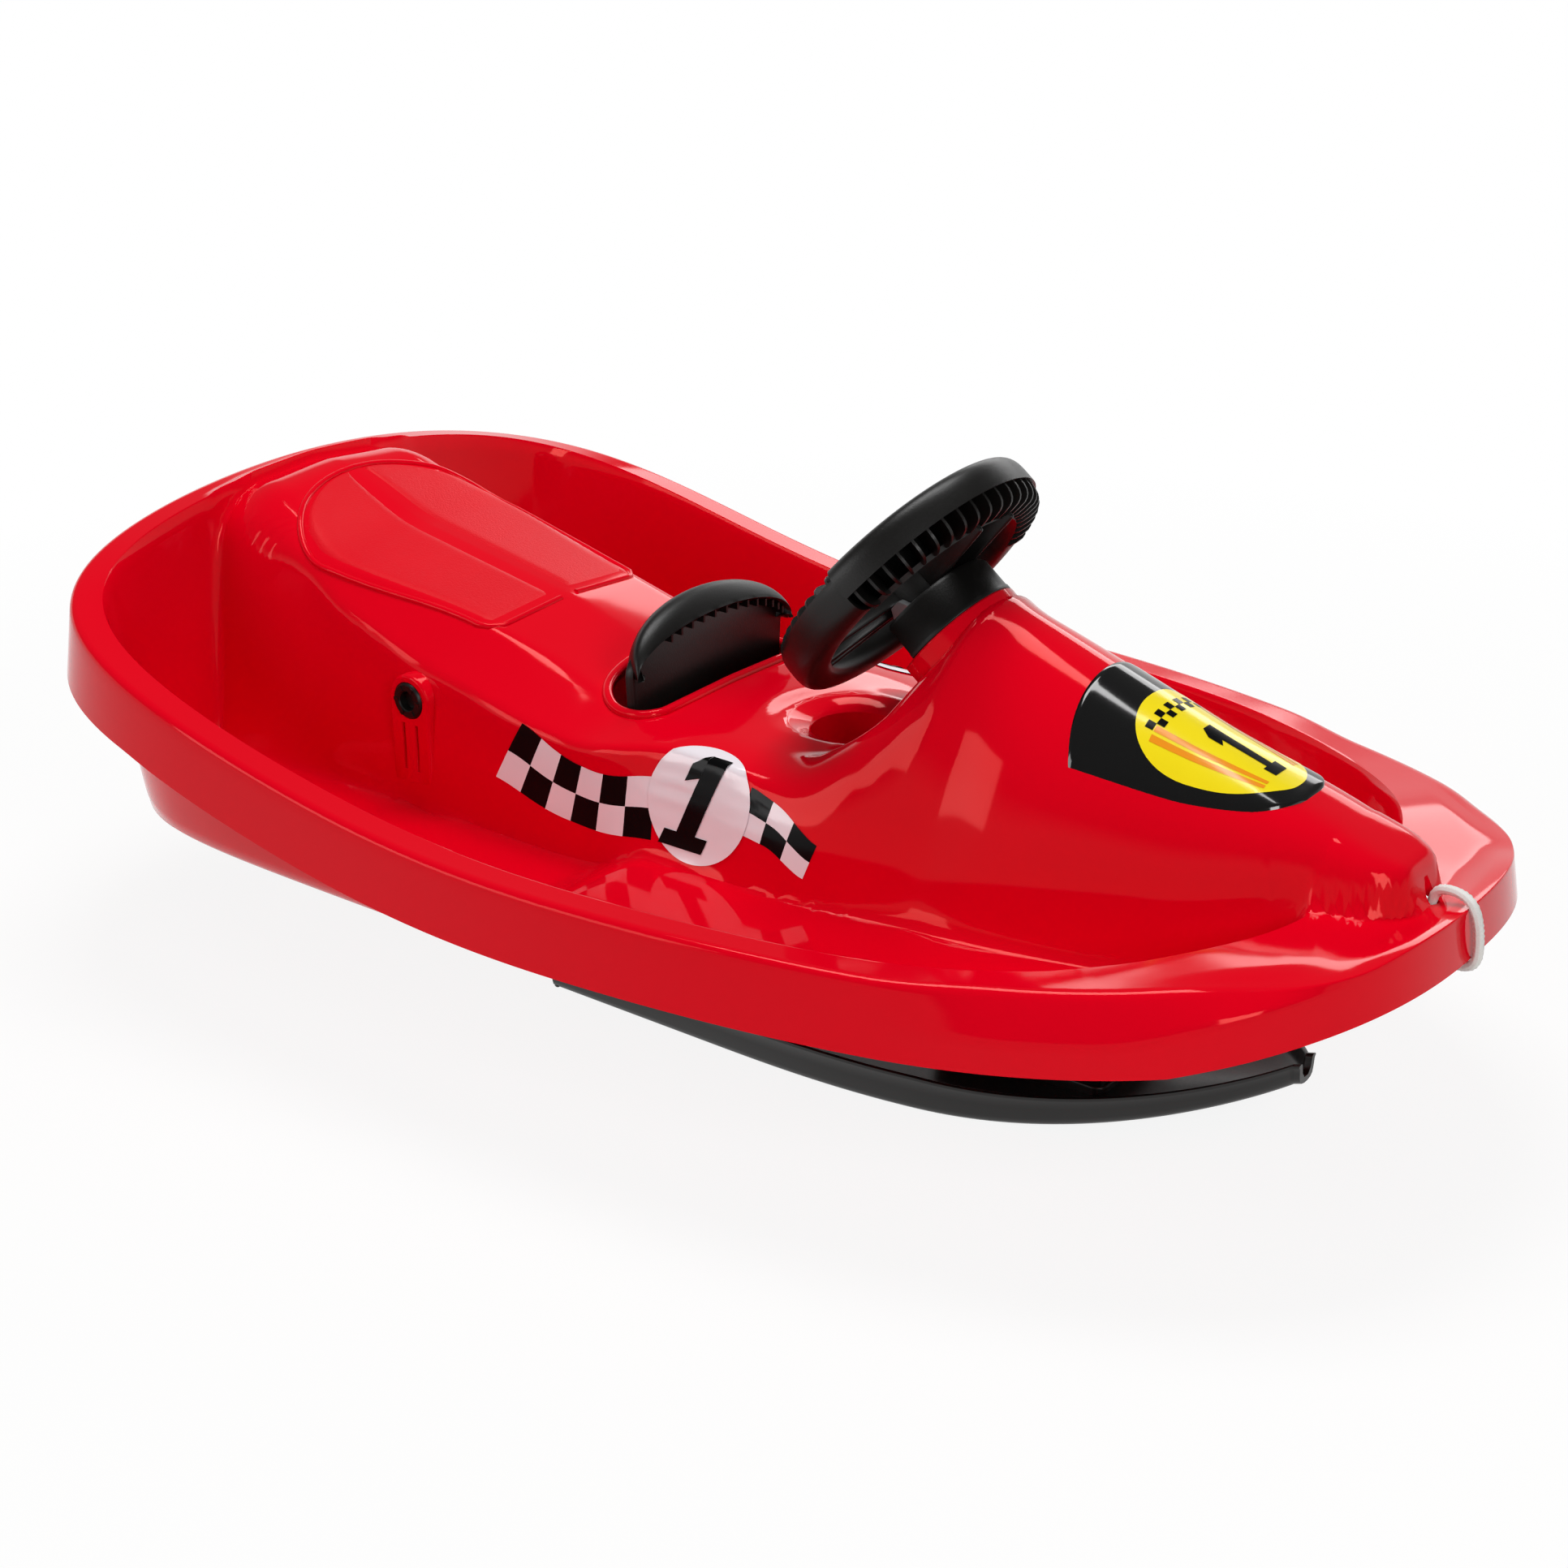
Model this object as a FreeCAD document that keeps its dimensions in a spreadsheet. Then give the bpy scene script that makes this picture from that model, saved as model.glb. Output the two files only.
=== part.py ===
import FreeCAD, Part
import math
import os

# Steering sled: moulded hull, raked steering column, coupled front ski, fixed rear ski, claw brake and rope.
# Millimetres. +X to the nose, +Y to the rider's left, +Z up from the snow, origin below the hull's middle.
V = FreeCAD.Vector
os.makedirs("parts", exist_ok=True)
doc = FreeCAD.newDocument("steering_sled")
sheet = doc.addObject("Spreadsheet::Sheet", "sizes")

SIZES = {
    # hull outline and rim
    "hull_length": 960, "hull_width": 598, "widest_place": -163, "tail_squareness": 4.2,
    "nose_squareness": 2.5,
    "rim_height": 163, "tail_rise": 119, "tail_rise_run": 750, "nose_rise": 18, "nose_rise_start": 240,
    "skirt_height": 42, "skirt_flare": 7, "skin": 4, "lip_width": 22, "deck_growth": 54, "deck_start": 180,
    "wall_draft": 14, "rear_floor": 99, "front_floor": 118, "floor_step_rear": -80, "floor_step_front": -20,
    "fillet_blend": 26,
    # seat hump, bench, cowl and nose, measured on the centre line and at half width
    "seat_rear_place": -425, "seat_rear_height": 293, "seat_mid_place": -345, "seat_mid_height": 254,
    "seat_front_place": -200, "seat_front_height": 226, "bench_height": 191, "bench_rear_place": -90,
    "cowl_foot_place": 80, "nose_top_place": 441, "nose_top_height": 197, "ridge_sag": 3,
    "hump_half_width": 127, "cowl_half_width": 112, "nose_half_width": 58,
    # steering column and wheel
    "column_place": 127, "column_height": 263, "column_rake": 39, "column_radius": 15,
    "column_inside": 178.5,
    "collar_radius": 43, "wheel_radius": 95, "wheel_offset": 50, "ring_depth": 30, "ring_breadth": 25,
    "grip_step": 2.5, "grip_angle": 150, "hub_radius": 24, "hub_depth": 42, "spoke_breadth": 26,
    "spoke_depth": 16,
    "shroud_wall": 3, "cap_radius": 21, "cap_thickness": 5, "bolt_radius": 4, "bush_wall": 3,
    "bush_length": 22,
    "run_clearance": 0.05, "fit_clearance": 0.3,
    # crank, bridge and king pin
    "crank_place": 172, "crank_reach": 40, "crank_thickness": 12, "crank_breadth": 7, "ball_radius": 6,
    "slot_clearance": 2.2,
    "pin_to_ball": 75, "king_pin_radius": 8, "bridge_height": 95, "bridge_thickness": 6,
    "bridge_half_width": 90,
    "bridge_half_length": 34, "post_radius": 8, "post_spread": 75, "lower_bush_place": 138,
    "screw_radius": 2.5,
    # front ski
    "ski_rear": -106, "ski_tip": 382, "ski_half_width": 132, "ski_flat_end": 180, "ski_tip_rise": 36,
    "ski_wall_height": 25, "ski_tip_wall": 15, "ski_wall": 3.5, "ski_floor": 4, "ski_pad_height": 16,
    "mount_radius": 23, "mount_flange": 6,
    # rear ski
    "rear_ski_rear": -375, "rear_ski_front": -150, "rear_ski_half_width": 98, "rear_ski_wall_height": 20,
    "rear_ski_rise": 16, "rear_ski_rise_run": 30, "bracket_top": 90, "bracket_sheet": 4,
    "bracket_flange": 34, "bracket_half_width": 86,
    "bracket_rear_place": -332, "bracket_front_place": -229,
    # brake
    "axle_place": -236, "axle_height": 175, "axle_radius": 6, "axle_half_length": 119, "boss_radius": 19,
    "plug_radius": 13, "plug_length": 14, "handle_place": -68, "handle_half_width": 83,
    "handle_height": 255,
    "handle_depth": 38, "handle_rim_height": 216, "plate_thickness": 8, "plate_half_width": 66,
    "arm_drop": 24,
    "arm_half_width": 24, "arm_thickness": 12, "lever_hub_radius": 15, "claw_place": -430,
    "claw_height": 26,
    "claw_half_width": 42, "claw_sheet": 4, "claw_depth": 42, "recess_clearance": 7,
    # cup hole, badge and rope
    "cup_place": 49, "cup_radius": 30, "cup_depth": 46, "badge_rear": 235, "badge_front": 365,
    "badge_half_width": 58, "badge_thickness": 1.6, "rope_radius": 3.1, "rope_hole_place": 447,
    "rope_hole_clearance": 1.6, "knot_radius": 8, "coil_place_x": 290, "coil_place_y": 200,
    "coil_inner": 30,
    "coil_step": 7, "coil_turns": 2, "tie_breadth": 9, "tie_thickness": 1,
}
for row, (name, value) in enumerate(SIZES.items(), start=1):
    sheet.set("A%d" % row, name)
    sheet.set("B%d" % row, str(value))
    sheet.setAlias("B%d" % row, name)
doc.recompute()
g = {name: float(sheet.get(name)) for name in SIZES}
pieces = []


def keep(shape, label):
    # a finished piece whose shape comes from Part's own functions
    piece = doc.addObject("Part::Feature", label)
    piece.Label = label
    piece.Shape = shape
    pieces.append(piece)
    return piece


def cylinder(name, radius, height, place, axis=V(0, 0, 1)):
    # a document cylinder bound to the sheet by expressions
    item = doc.addObject("Part::Cylinder", name)
    item.setExpression("Radius", radius)
    item.setExpression("Height", height)
    item.Placement = FreeCAD.Placement(place, FreeCAD.Rotation(V(0, 0, 1), axis))
    return item


def joined(kind, name, items):
    item = doc.addObject(kind, name)
    item.Shapes = items
    return item


def less(name, base, tool):
    item = doc.addObject("Part::Cut", name)
    item.Base = base
    item.Tool = tool
    return item


def finish(item):
    item.Label = item.Name
    pieces.append(item)
    return item


def rod(radius, length, place, axis=V(0, 0, 1)):
    return Part.makeCylinder(radius, length, place, axis)


def block(low, high):
    return Part.makeBox(high.x - low.x, high.y - low.y, high.z - low.z, low)


def prism(points, along):
    face = Part.Face(Part.makePolygon(points + [points[0]]))
    return face.extrude(along)


def hexagon(flats, height, place, axis=V(0, 0, 1)):
    corner = flats / math.sqrt(3)
    ring = [V(corner * math.cos(math.pi * k / 3), corner * math.sin(math.pi * k / 3), 0) for k in range(6)]
    solid = prism(ring, V(0, 0, height))
    solid.Placement = FreeCAD.Placement(place, FreeCAD.Rotation(V(0, 0, 1), axis))
    return solid


def mirrored(shape):
    return shape.mirror(V(0, 0, 0), V(0, 1, 0))


# Hull surfaces

half_width = g["hull_width"] / 2 - g["skirt_flare"]
tail_end = -g["hull_length"] / 2 + g["skirt_flare"]
nose_end = g["hull_length"] / 2 - g["skirt_flare"]
column_foot = V(g["column_place"], 0, g["column_height"])
rake = math.radians(g["column_rake"])
to_rider = V(-math.cos(rake), 0, math.sin(rake))
to_top = V(math.sin(rake), 0, math.cos(rake))
cowl_top = column_foot + to_top * g["collar_radius"]
hump_foot = g["rear_floor"] - 12


def ramp(x, points):
    # straight lines between points, level beyond the ends
    if x <= points[0][0]:
        return points[0][1]
    for (a, low), (b, high) in zip(points, points[1:]):
        if x <= b:
            return low + (high - low) * (x - a) / (b - a)
    return points[-1][1]


def rounded(x, points, reach=14, steps=4):
    # the same lines with their corners rounded by a running mean
    return sum(ramp(x + reach * k / steps, points) for k in range(-steps, steps + 1)) / (2 * steps + 1)


def ease(t):
    t = min(max(t, 0), 1)
    return t * t * (3 - 2 * t)


ridge_mid = (cowl_top.x + g["nose_top_place"]) / 2
SPINE = [
    (tail_end - 20, g["rim_height"] + g["tail_rise"] - 22),
    (tail_end + 22, g["rim_height"] + g["tail_rise"] - 2),
    (g["seat_rear_place"], g["seat_rear_height"]), (g["seat_mid_place"], g["seat_mid_height"]),
    (g["seat_front_place"], g["seat_front_height"]), (g["bench_rear_place"], g["bench_height"] + 4),
    (g["cowl_foot_place"], g["bench_height"] - 2), (cowl_top.x, cowl_top.z),
    (ridge_mid, (cowl_top.z + g["nose_top_height"]) / 2 - g["ridge_sag"]),
    (g["nose_top_place"], g["nose_top_height"]), (g["nose_top_place"] + 10, g["rim_height"] - 10),
]
BREADTH = [
    (tail_end - 8, g["hump_half_width"] * 0.5), (g["seat_rear_place"] - 10, g["hump_half_width"] * 0.8),
    (g["seat_mid_place"] - 40, g["hump_half_width"]), (g["cowl_foot_place"], g["hump_half_width"]),
    (g["column_place"] + 70, g["cowl_half_width"]), (g["nose_top_place"] - 40, g["nose_half_width"]),
    (g["nose_top_place"] - 8, g["nose_half_width"] * 0.78), (g["nose_top_place"] + 12, 12),
]
cowl_front = ridge_mid - 50
nose_flank = g["nose_top_place"] - 110
CROWN = [
    (g["cowl_foot_place"] - 40, 7), (cowl_top.x, 2.0), (cowl_front, 2.0), (nose_flank, 2.4),
    (g["nose_top_place"] - 40, 4.5),
]
FALL = [
    (g["cowl_foot_place"] - 40, 2.6), (cowl_top.x, 0.95), (cowl_top.x + 46, 1.5), (cowl_front, 2.0),
    (nose_flank, 2.2),
    (g["nose_top_place"] - 40, 3.0),
]


def spine(x):
    return rounded(x, SPINE)


def hump(x, y):
    share = min(abs(y) / rounded(x, BREADTH), 1)
    crown, fall = rounded(x, CROWN), rounded(x, FALL)
    return hump_foot + (spine(x) - hump_foot) * (1 - share ** crown) ** (1 / fall)


def floor(x):
    run = (x - g["floor_step_rear"]) / (g["floor_step_front"] - g["floor_step_rear"])
    return g["rear_floor"] + (g["front_floor"] - g["rear_floor"]) * ease(run)


def blended(a, b):
    # the higher of two heights, with a fillet where they meet
    share = min(max(0.5 + 0.5 * (a - b) / g["fillet_blend"], 0), 1)
    return b + (a - b) * share + g["fillet_blend"] * share * (1 - share)


def outline(angle):
    c, s = math.cos(angle), abs(math.sin(angle))
    if c >= 0:
        return (g["widest_place"] - (g["widest_place"] - tail_end) * c ** (2 / g["tail_squareness"]),
                half_width * s ** (2 / g["tail_squareness"]))
    return (g["widest_place"] + (nose_end - g["widest_place"]) * (-c) ** (2 / g["nose_squareness"]),
            half_width * s ** (2 / g["nose_squareness"]))


FINE = 4000
track = [outline(math.pi * k / FINE) for k in range(FINE + 1)]
walked = [0.0]
for before, after in zip(track, track[1:]):
    walked.append(walked[-1] + math.dist(before, after))


def rim_point(share):
    # point of the rim's outer edge on the right side, by its share of the walk from tail to nose
    goal = share * walked[-1]
    low, high = 0, FINE
    while high - low > 1:
        middle = (low + high) // 2
        if walked[middle] <= goal:
            low = middle
        else:
            high = middle
    part = (goal - walked[low]) / (walked[high] - walked[low])
    x = track[low][0] + (track[high][0] - track[low][0]) * part
    w = track[low][1] + (track[high][1] - track[low][1]) * part
    z = g["rim_height"] + g["tail_rise"] * math.cos(math.pi / 2 * min(1, goal / g["tail_rise_run"])) ** 2.5
    z += g["nose_rise"] * max((x - g["nose_rise_start"]) / (nose_end - g["nose_rise_start"]), 0) ** 2
    return V(x, -w, z)


def inward(share):
    if share < 0.003:
        return V(1, 0, 0)
    if share > 0.997:
        return V(-1, 0, 0)
    way = rim_point(share + 0.003) - rim_point(share - 0.003)
    return V(-way.y, way.x, 0).normalize()


def deck_width(x):
    run = min(max((x - g["deck_start"]) / (nose_end - g["deck_start"]), 0), 1)
    return g["lip_width"] + g["deck_growth"] * run ** 1.9


RIBS = 56
COLUMNS = 24
SPINE_REAR = -310.0
SPINE_FRONT = 330.0


def rib(share):
    # one line of points from the skirt's lower edge over the rim, down the wall and up to the spine
    edge = rim_point(share)
    into = inward(share)
    deck = deck_width(edge.x)
    tall = g["skirt_height"] * ramp(edge.x, [(tail_end, 1.25), (tail_end + 150, 1), (nose_end - 90, 1.05),
                                             (nose_end, 0.7)])
    flare = g["skirt_flare"] * ramp(edge.x, [(nose_end - 60, 1), (nose_end, 0.6)])
    low = edge - into * flare - V(0, 0, tall)
    step = edge + into * (deck * 0.38)
    lip = edge + into * deck
    foot = edge + into * (deck + g["wall_draft"])
    step.z = blended(step.z, hump(step.x, step.y)) if share > 0.8 else step.z
    lip.z = max(lip.z, hump(lip.x, lip.y))
    foot.z = blended(floor(foot.x), hump(foot.x, foot.y))
    goal = V(SPINE_REAR + (SPINE_FRONT - SPINE_REAR) * share, 0, 0)
    row = [foot]
    for k in range(1, COLUMNS + 1):
        # columns crowd towards the steep side of the hump
        t = (k / COLUMNS + 0.10 * math.sin(2 * math.pi * k / COLUMNS)) if 0.12 < share < 0.9 else k / COLUMNS
        spot = foot + (goal - foot) * t
        row.append(V(spot.x, spot.y, blended(floor(spot.x), hump(spot.x, spot.y))))
    return low, edge, step, lip, row


shares = [0.5 - 0.5 * math.cos(math.pi * k / RIBS) * (1 - 0.25 * math.sin(math.pi * k / RIBS))
          for k in range(RIBS + 1)]
ribs = [rib(share) for share in shares]
ways = [inward(share) for share in shares]


def knots_for(count):
    # clamped even knots of a cubic with this many poles
    knots = list(range(count - 2))
    return knots, [4] + [1] * (count - 4) + [4]


def smooth_face(rows):
    knots_u, times_u = knots_for(len(rows))
    knots_v, times_v = knots_for(len(rows[0]))
    patch = Part.BSplineSurface()
    patch.buildFromPolesMultsKnots(rows, times_u, times_v, knots_u, knots_v, False, False, 3, 3)
    return patch


def strip(first_line, second_line):
    # straight across from one smooth line to the next
    knots, times = knots_for(len(first_line))
    patch = Part.BSplineSurface()
    patch.buildFromPolesMultsKnots(list(zip(first_line, second_line)), times, [2, 2], knots, [0, 1],
                                   False, False, 3, 1)
    return patch.toShape()


def normal_at(rows, i, k):
    along = rows[min(i + 1, RIBS)][k] - rows[max(i - 1, 0)][k]
    across = rows[i][min(k + 1, COLUMNS)] - rows[i][max(k - 1, 0)]
    if i in (0, RIBS):
        along = V(0, 1, 0)
    elif k == COLUMNS:
        across = V(0, 1, 0)
    way = along.cross(across).normalize()
    return way if way.z > 0 else way * -1


upper_rows = [line[4] for line in ribs]
lower_rows = []
for i in range(RIBS + 1):
    lower_rows.append([])
    for k in range(COLUMNS + 1):
        point = upper_rows[i][k] - normal_at(upper_rows, i, k) * g["skin"]
        if i in (0, RIBS) or k == COLUMNS:
            point.y = 0
        lower_rows[i].append(point)
    if i not in (0, RIBS):
        # the outer side of the wall's foot stands one skin further out and lower
        lower_rows[i][0] = upper_rows[i][0] - ways[i] * (0.6 * g["skin"]) - V(0, 0, g["skin"])

upper = smooth_face(upper_rows)
lower = smooth_face(lower_rows)


skin = g["skin"]
drop = V(0, 0, skin)
outer_lines = [[line[n] for line in ribs] for n in range(4)]
inner_lines = [
    [p + w * skin for p, w in zip(outer_lines[0], ways)],
    [p + w * skin - drop for p, w in zip(outer_lines[1], ways)],
    [p - drop for p in outer_lines[2]],
    [p - w * (0.8 * skin) - drop for p, w in zip(outer_lines[3], ways)],
]
outer_lines.append([row[0] for row in upper_rows])
inner_lines.append([row[0] for row in lower_rows])
half_faces = [upper.toShape(), lower.toShape(), strip(outer_lines[0], inner_lines[0])]
for chain in (outer_lines, inner_lines):
    half_faces += [strip(a, b) for a, b in zip(chain, chain[1:])]
skin_shell = Part.Shell(half_faces + [mirrored(face) for face in half_faces])
skin_shell.sewShape()
hull = Part.Solid(Part.Shell(skin_shell.Faces))
if hull.Volume < 0:
    hull.reverse()
print("hull closed", skin_shell.isClosed(), "valid", hull.isValid(), "volume",
      round(hull.Volume / 1e6, 3), "litres")


def skin_height(x, y):
    # height of the hull's upper side, read from the surface itself
    found = Part.Line(V(x, -abs(y), 0), V(x, -abs(y), 400)).intersectCS(upper)[0]
    return max(p.Z for p in found) if found else blended(floor(x), hump(x, y))


def hanging_post(x, y, end, radius):
    # moulded screw post from the underside of the skin down to a level end
    reach = 6.0
    slope_x = (skin_height(x + reach, y) - skin_height(x - reach, y)) / (2 * reach)
    slope_y = (skin_height(x, y + reach) - skin_height(x, y - reach)) / (2 * reach)
    up = V(-slope_x, -slope_y, 1).normalize()
    top = V(x, y, skin_height(x, y)) - up * (0.6 * skin)
    post = rod(radius, top.z - end + 3 * radius, V(x, y, end))
    away = Part.makeBox(12 * radius, 12 * radius, 8 * radius, V(-6 * radius, -6 * radius, 0))
    away.Placement = FreeCAD.Placement(top, FreeCAD.Rotation(V(0, 0, 1), up))
    return post.cut(away)


# Steering numbers shared by several pieces

crank_axis = column_foot - to_rider * g["crank_place"]
ball_centre = crank_axis + to_top * g["crank_reach"]
king_pin = V(ball_centre.x - g["pin_to_ball"], 0, 0)
wheel_centre = column_foot + to_rider * g["wheel_offset"]
bush_radius = g["column_radius"] + g["run_clearance"] + g["bush_wall"]
bridge_top = g["bridge_height"] + g["bridge_thickness"]
bridge_posts = [V(king_pin.x + sx * (g["bridge_half_length"] - 12), sy * g["post_spread"], bridge_top)
                for sx in (-1, 1) for sy in (-1, 1)]
bracket_posts = [V(place + g["bracket_flange"] / 2, sy * g["post_spread"], g["bracket_top"])
                 for place in (g["bracket_rear_place"], g["bracket_front_place"]) for sy in (-1, 1)]
screw_depth = 16.0
axle = V(g["axle_place"], 0, g["axle_height"])
across = V(0, 1, 0)


def build_body():
    body = hull
    adds = [hanging_post(p.x, p.y, p.z, g["post_radius"]) for p in bridge_posts + bracket_posts]
    # cup under the round hole
    cup_top = skin_height(g["cup_place"], 0)
    cup_floor = cup_top - g["cup_depth"]
    adds.append(rod(g["cup_radius"] + 3, g["cup_depth"] - 1, V(g["cup_place"], 0, cup_floor - 3)))
    # sleeve behind the cowl face for the upper bush
    sleeve = bush_radius + g["fit_clearance"] + 3
    adds.append(rod(sleeve, g["bush_length"] + 12, column_foot + to_rider * -4, to_rider * -1))
    # bosses for the brake axle on both sides of the hump
    for side in (-1, 1):
        start = V(axle.x, side * (g["axle_half_length"] - g["plug_length"] - 8), axle.z)
        adds.append(rod(g["boss_radius"], g["plug_length"] + 12, start, across * side))
    body = body.fuse(adds)
    cuts = [rod(g["cup_radius"], g["cup_depth"] + 40, V(g["cup_place"], 0, cup_floor))]
    cuts.append(rod(bush_radius + g["fit_clearance"], 120, column_foot + to_rider * 60, to_rider * -1))
    cuts.append(rod(g["axle_radius"] + g["run_clearance"], 2 * g["axle_half_length"] + 40,
                    V(axle.x, -g["axle_half_length"] - 20, axle.z), across))
    for side in (-1, 1):
        start = V(axle.x, side * (g["axle_half_length"] - g["plug_length"] + 2), axle.z)
        cuts.append(rod(g["plug_radius"] + g["fit_clearance"], g["plug_length"] + 20, start, across * side))
    gap = g["recess_clearance"]
    deep = g["handle_depth"] + 2 * gap + 10
    front = g["handle_place"] + gap + 4
    wide = g["handle_half_width"] + gap
    cuts.append(block(V(front - deep, -wide, g["axle_height"] - 40), V(front, wide, g["handle_height"])))
    for p in bridge_posts + bracket_posts:
        cuts.append(rod(g["screw_radius"] + 0.05, screw_depth + 2, p - V(0, 0, 1)))
    hole = g["rope_radius"] + g["rope_hole_clearance"]
    cuts.append(rod(hole, 80, V(g["rope_hole_place"], 0, g["rim_height"] - 30)))
    return body.cut(cuts)


body_shape = build_body()
if len(body_shape.Solids) > 1:
    body_shape = max(body_shape.Solids, key=lambda solid: solid.Volume)
keep(body_shape, "body_shell")


# Steering wheel, made about its own axis: local z to the rider, local x to the wheel's top

def on_wheel(shape):
    shape.Placement = FreeCAD.Placement(wheel_centre, FreeCAD.Rotation(V(0, 0, 1), to_rider))
    return shape


ring_middle = g["wheel_radius"] - g["ring_breadth"] / 2


def ring_section(extra):
    # rounded section of the ring in the local xz plane
    a = g["ring_breadth"] / 2 + extra
    b = g["ring_depth"] / 2 + extra
    r = 0.42 * min(a, b) * 2
    corners = [(-a, -b), (a, -b), (a, b), (-a, b)]
    edges = []
    for k in range(4):
        x0, z0 = corners[k]
        x1, z1 = corners[(k + 1) % 4]
        x2, z2 = corners[(k + 2) % 4]
        d1 = V(math.copysign(1, x1 - x0) if x1 != x0 else 0, 0,
               math.copysign(1, z1 - z0) if z1 != z0 else 0)
        d2 = V(math.copysign(1, x2 - x1) if x2 != x1 else 0, 0,
               math.copysign(1, z2 - z1) if z2 != z1 else 0)
        corner = V(ring_middle + x1, 0, z1)
        start = V(ring_middle + x0, 0, z0) + d1 * r
        turn = corner - d1 * r
        leave = corner + d2 * r
        middle = corner + (d2 - d1) * r * (1 - math.sqrt(0.5))
        edges.append(Part.LineSegment(start, turn).toShape())
        edges.append(Part.Arc(turn, middle, leave).toShape())
    return Part.Face(Part.Wire(edges))


def turned(face, angle, start):
    solid = face.revolve(V(0, 0, 0), V(0, 0, 1), angle)
    solid.rotate(V(0, 0, 0), V(0, 0, 1), start)
    return solid


grip_inner = ring_middle - g["ring_breadth"] / 2 + g["grip_step"] + 3.5


def build_wheel():
    grip = g["grip_angle"]
    ring = turned(ring_section(0), 360 - grip, grip / 2)
    core = turned(ring_section(-g["grip_step"]), grip, -grip / 2)
    hub = rod(g["hub_radius"], g["hub_depth"], V(0, 0, hub_low))
    wheel = ring.fuse([core, hub])
    wide = g["spoke_breadth"]
    reach = math.sqrt((grip_inner - 0.3) ** 2 - (wide * 0.72) ** 2)
    for angle in (0, 125, -125):
        deep = g["spoke_depth"]
        spoke = prism([V(0, -wide * 0.5, 0), V(reach, -wide * 0.72, 0), V(reach, wide * 0.72, 0),
                       V(0, wide * 0.5, 0)],
                      V(0, 0, deep))
        spoke.translate(V(0, 0, -deep / 2))
        spoke.rotate(V(0, 0, 0), V(0, 0, 1), angle)
        wheel = wheel.fuse(spoke)
    bore = rod(g["column_radius"] + g["run_clearance"], g["hub_depth"] + 2, V(0, 0, hub_low - 1))
    cross = rod(g["bolt_radius"] + g["run_clearance"], 4 * g["hub_radius"],
                V(0, -2 * g["hub_radius"], hub_low + 9), across)
    return wheel.cut([bore, cross])


hub_low = -g["hub_depth"] / 2 - 7
hub_high = hub_low + g["hub_depth"]
keep(on_wheel(build_wheel()), "steering_wheel")
sleeve = turned(ring_section(0.6), g["grip_angle"] - 0.6, -g["grip_angle"] / 2 + 0.3)
sleeve = sleeve.cut(turned(ring_section(-g["grip_step"] + g["fit_clearance"]), 360, 0))
sleeve = sleeve.cut(rod(grip_inner, 2 * g["ring_depth"], V(0, 0, -g["ring_depth"])))
keep(on_wheel(sleeve), "wheel_grip")
cap = rod(g["cap_radius"], g["cap_thickness"], V(0, 0, hub_high))
cap_edge = max(cap.Edges, key=lambda edge: edge.BoundBox.ZMin)
keep(on_wheel(cap.makeFillet(1.5, [cap_edge])), "wheel_cap")


def build_shroud():
    # half collar that continues the cowl's round ridge, with an end plate against the hub
    low = -g["wheel_offset"] + 3
    tall = hub_low - low
    outer = rod(g["collar_radius"], tall, V(0, 0, low))
    inner = rod(g["collar_radius"] - g["shroud_wall"], tall, V(0, 0, low - g["shroud_wall"]))
    keep_side = block(V(-4, -60, low - 1), V(60, 60, hub_low + 1))
    bore = rod(g["column_radius"] + g["fit_clearance"], 2 * tall, V(0, 0, low - 5))
    return outer.cut([inner, bore]).common(keep_side)


keep(on_wheel(build_shroud()), "wheel_shroud")

bolt_reach = g["hub_radius"] + 1
bolt = rod(g["bolt_radius"], 2 * bolt_reach + 12, V(0, -bolt_reach - 0.01, hub_low + 9), across)
bolt = bolt.fuse(hexagon(13, 5.5, V(0, -bolt_reach, hub_low + 9), across * -1))
keep(on_wheel(bolt), "wheel_bolt")
nut = hexagon(13, 6.5, V(0, bolt_reach, hub_low + 9), across)
nut = nut.cut(rod(g["bolt_radius"] + g["run_clearance"], 20, V(0, bolt_reach - 5, hub_low + 9), across))
keep(on_wheel(nut), "wheel_nut")

column_top = g["wheel_offset"] + hub_high - 0.2
shaft = cylinder("column_shaft", "sizes.column_radius", "sizes.column_inside + %f" % column_top,
                 column_foot + to_rider * column_top, to_rider * -1)
bolt_hole = cylinder("column_bolt_hole", "sizes.bolt_radius + sizes.run_clearance",
                     "4 * sizes.column_radius",
                     column_foot + to_rider * (g["wheel_offset"] + hub_low + 9)
                     - across * 2 * g["column_radius"], across)
finish(less("steering_column", shaft, bolt_hole))

for label, place in (("column_bush_upper", 0.0), ("column_bush_lower", g["lower_bush_place"])):
    start = column_foot - to_rider * place
    body = cylinder(label + "_body", "sizes.column_radius + sizes.run_clearance + sizes.bush_wall",
                    "sizes.bush_length",
                    start, to_rider * -1)
    bore = cylinder(label + "_bore", "sizes.column_radius + sizes.run_clearance", "sizes.bush_length * 3",
                    start + to_rider * g["bush_length"], to_rider * -1)
    finish(less(label, body, bore))


# Crank on the column's lower end, and the ball that drives the ski's fork

def build_crank():
    thick = g["crank_thickness"]
    start = crank_axis + to_rider * (thick / 2)
    eye = rod(g["column_radius"] + 6, thick, start, to_rider * -1)
    wide = g["crank_breadth"]
    arm = [start + across * (wide / 2), start - across * (wide / 2),
           start - across * (wide / 2) + to_top * (g["crank_reach"] - g["ball_radius"] + 1),
           start + across * (wide / 2) + to_top * (g["crank_reach"] - g["ball_radius"] + 1)]
    bar = prism(arm, to_rider * -thick)
    return eye.fuse(bar).cut([rod(g["column_radius"] + g["run_clearance"], 3 * thick,
                                  start + to_rider * thick, to_rider * -1),
                              Part.makeSphere(g["ball_radius"], ball_centre)])


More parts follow.
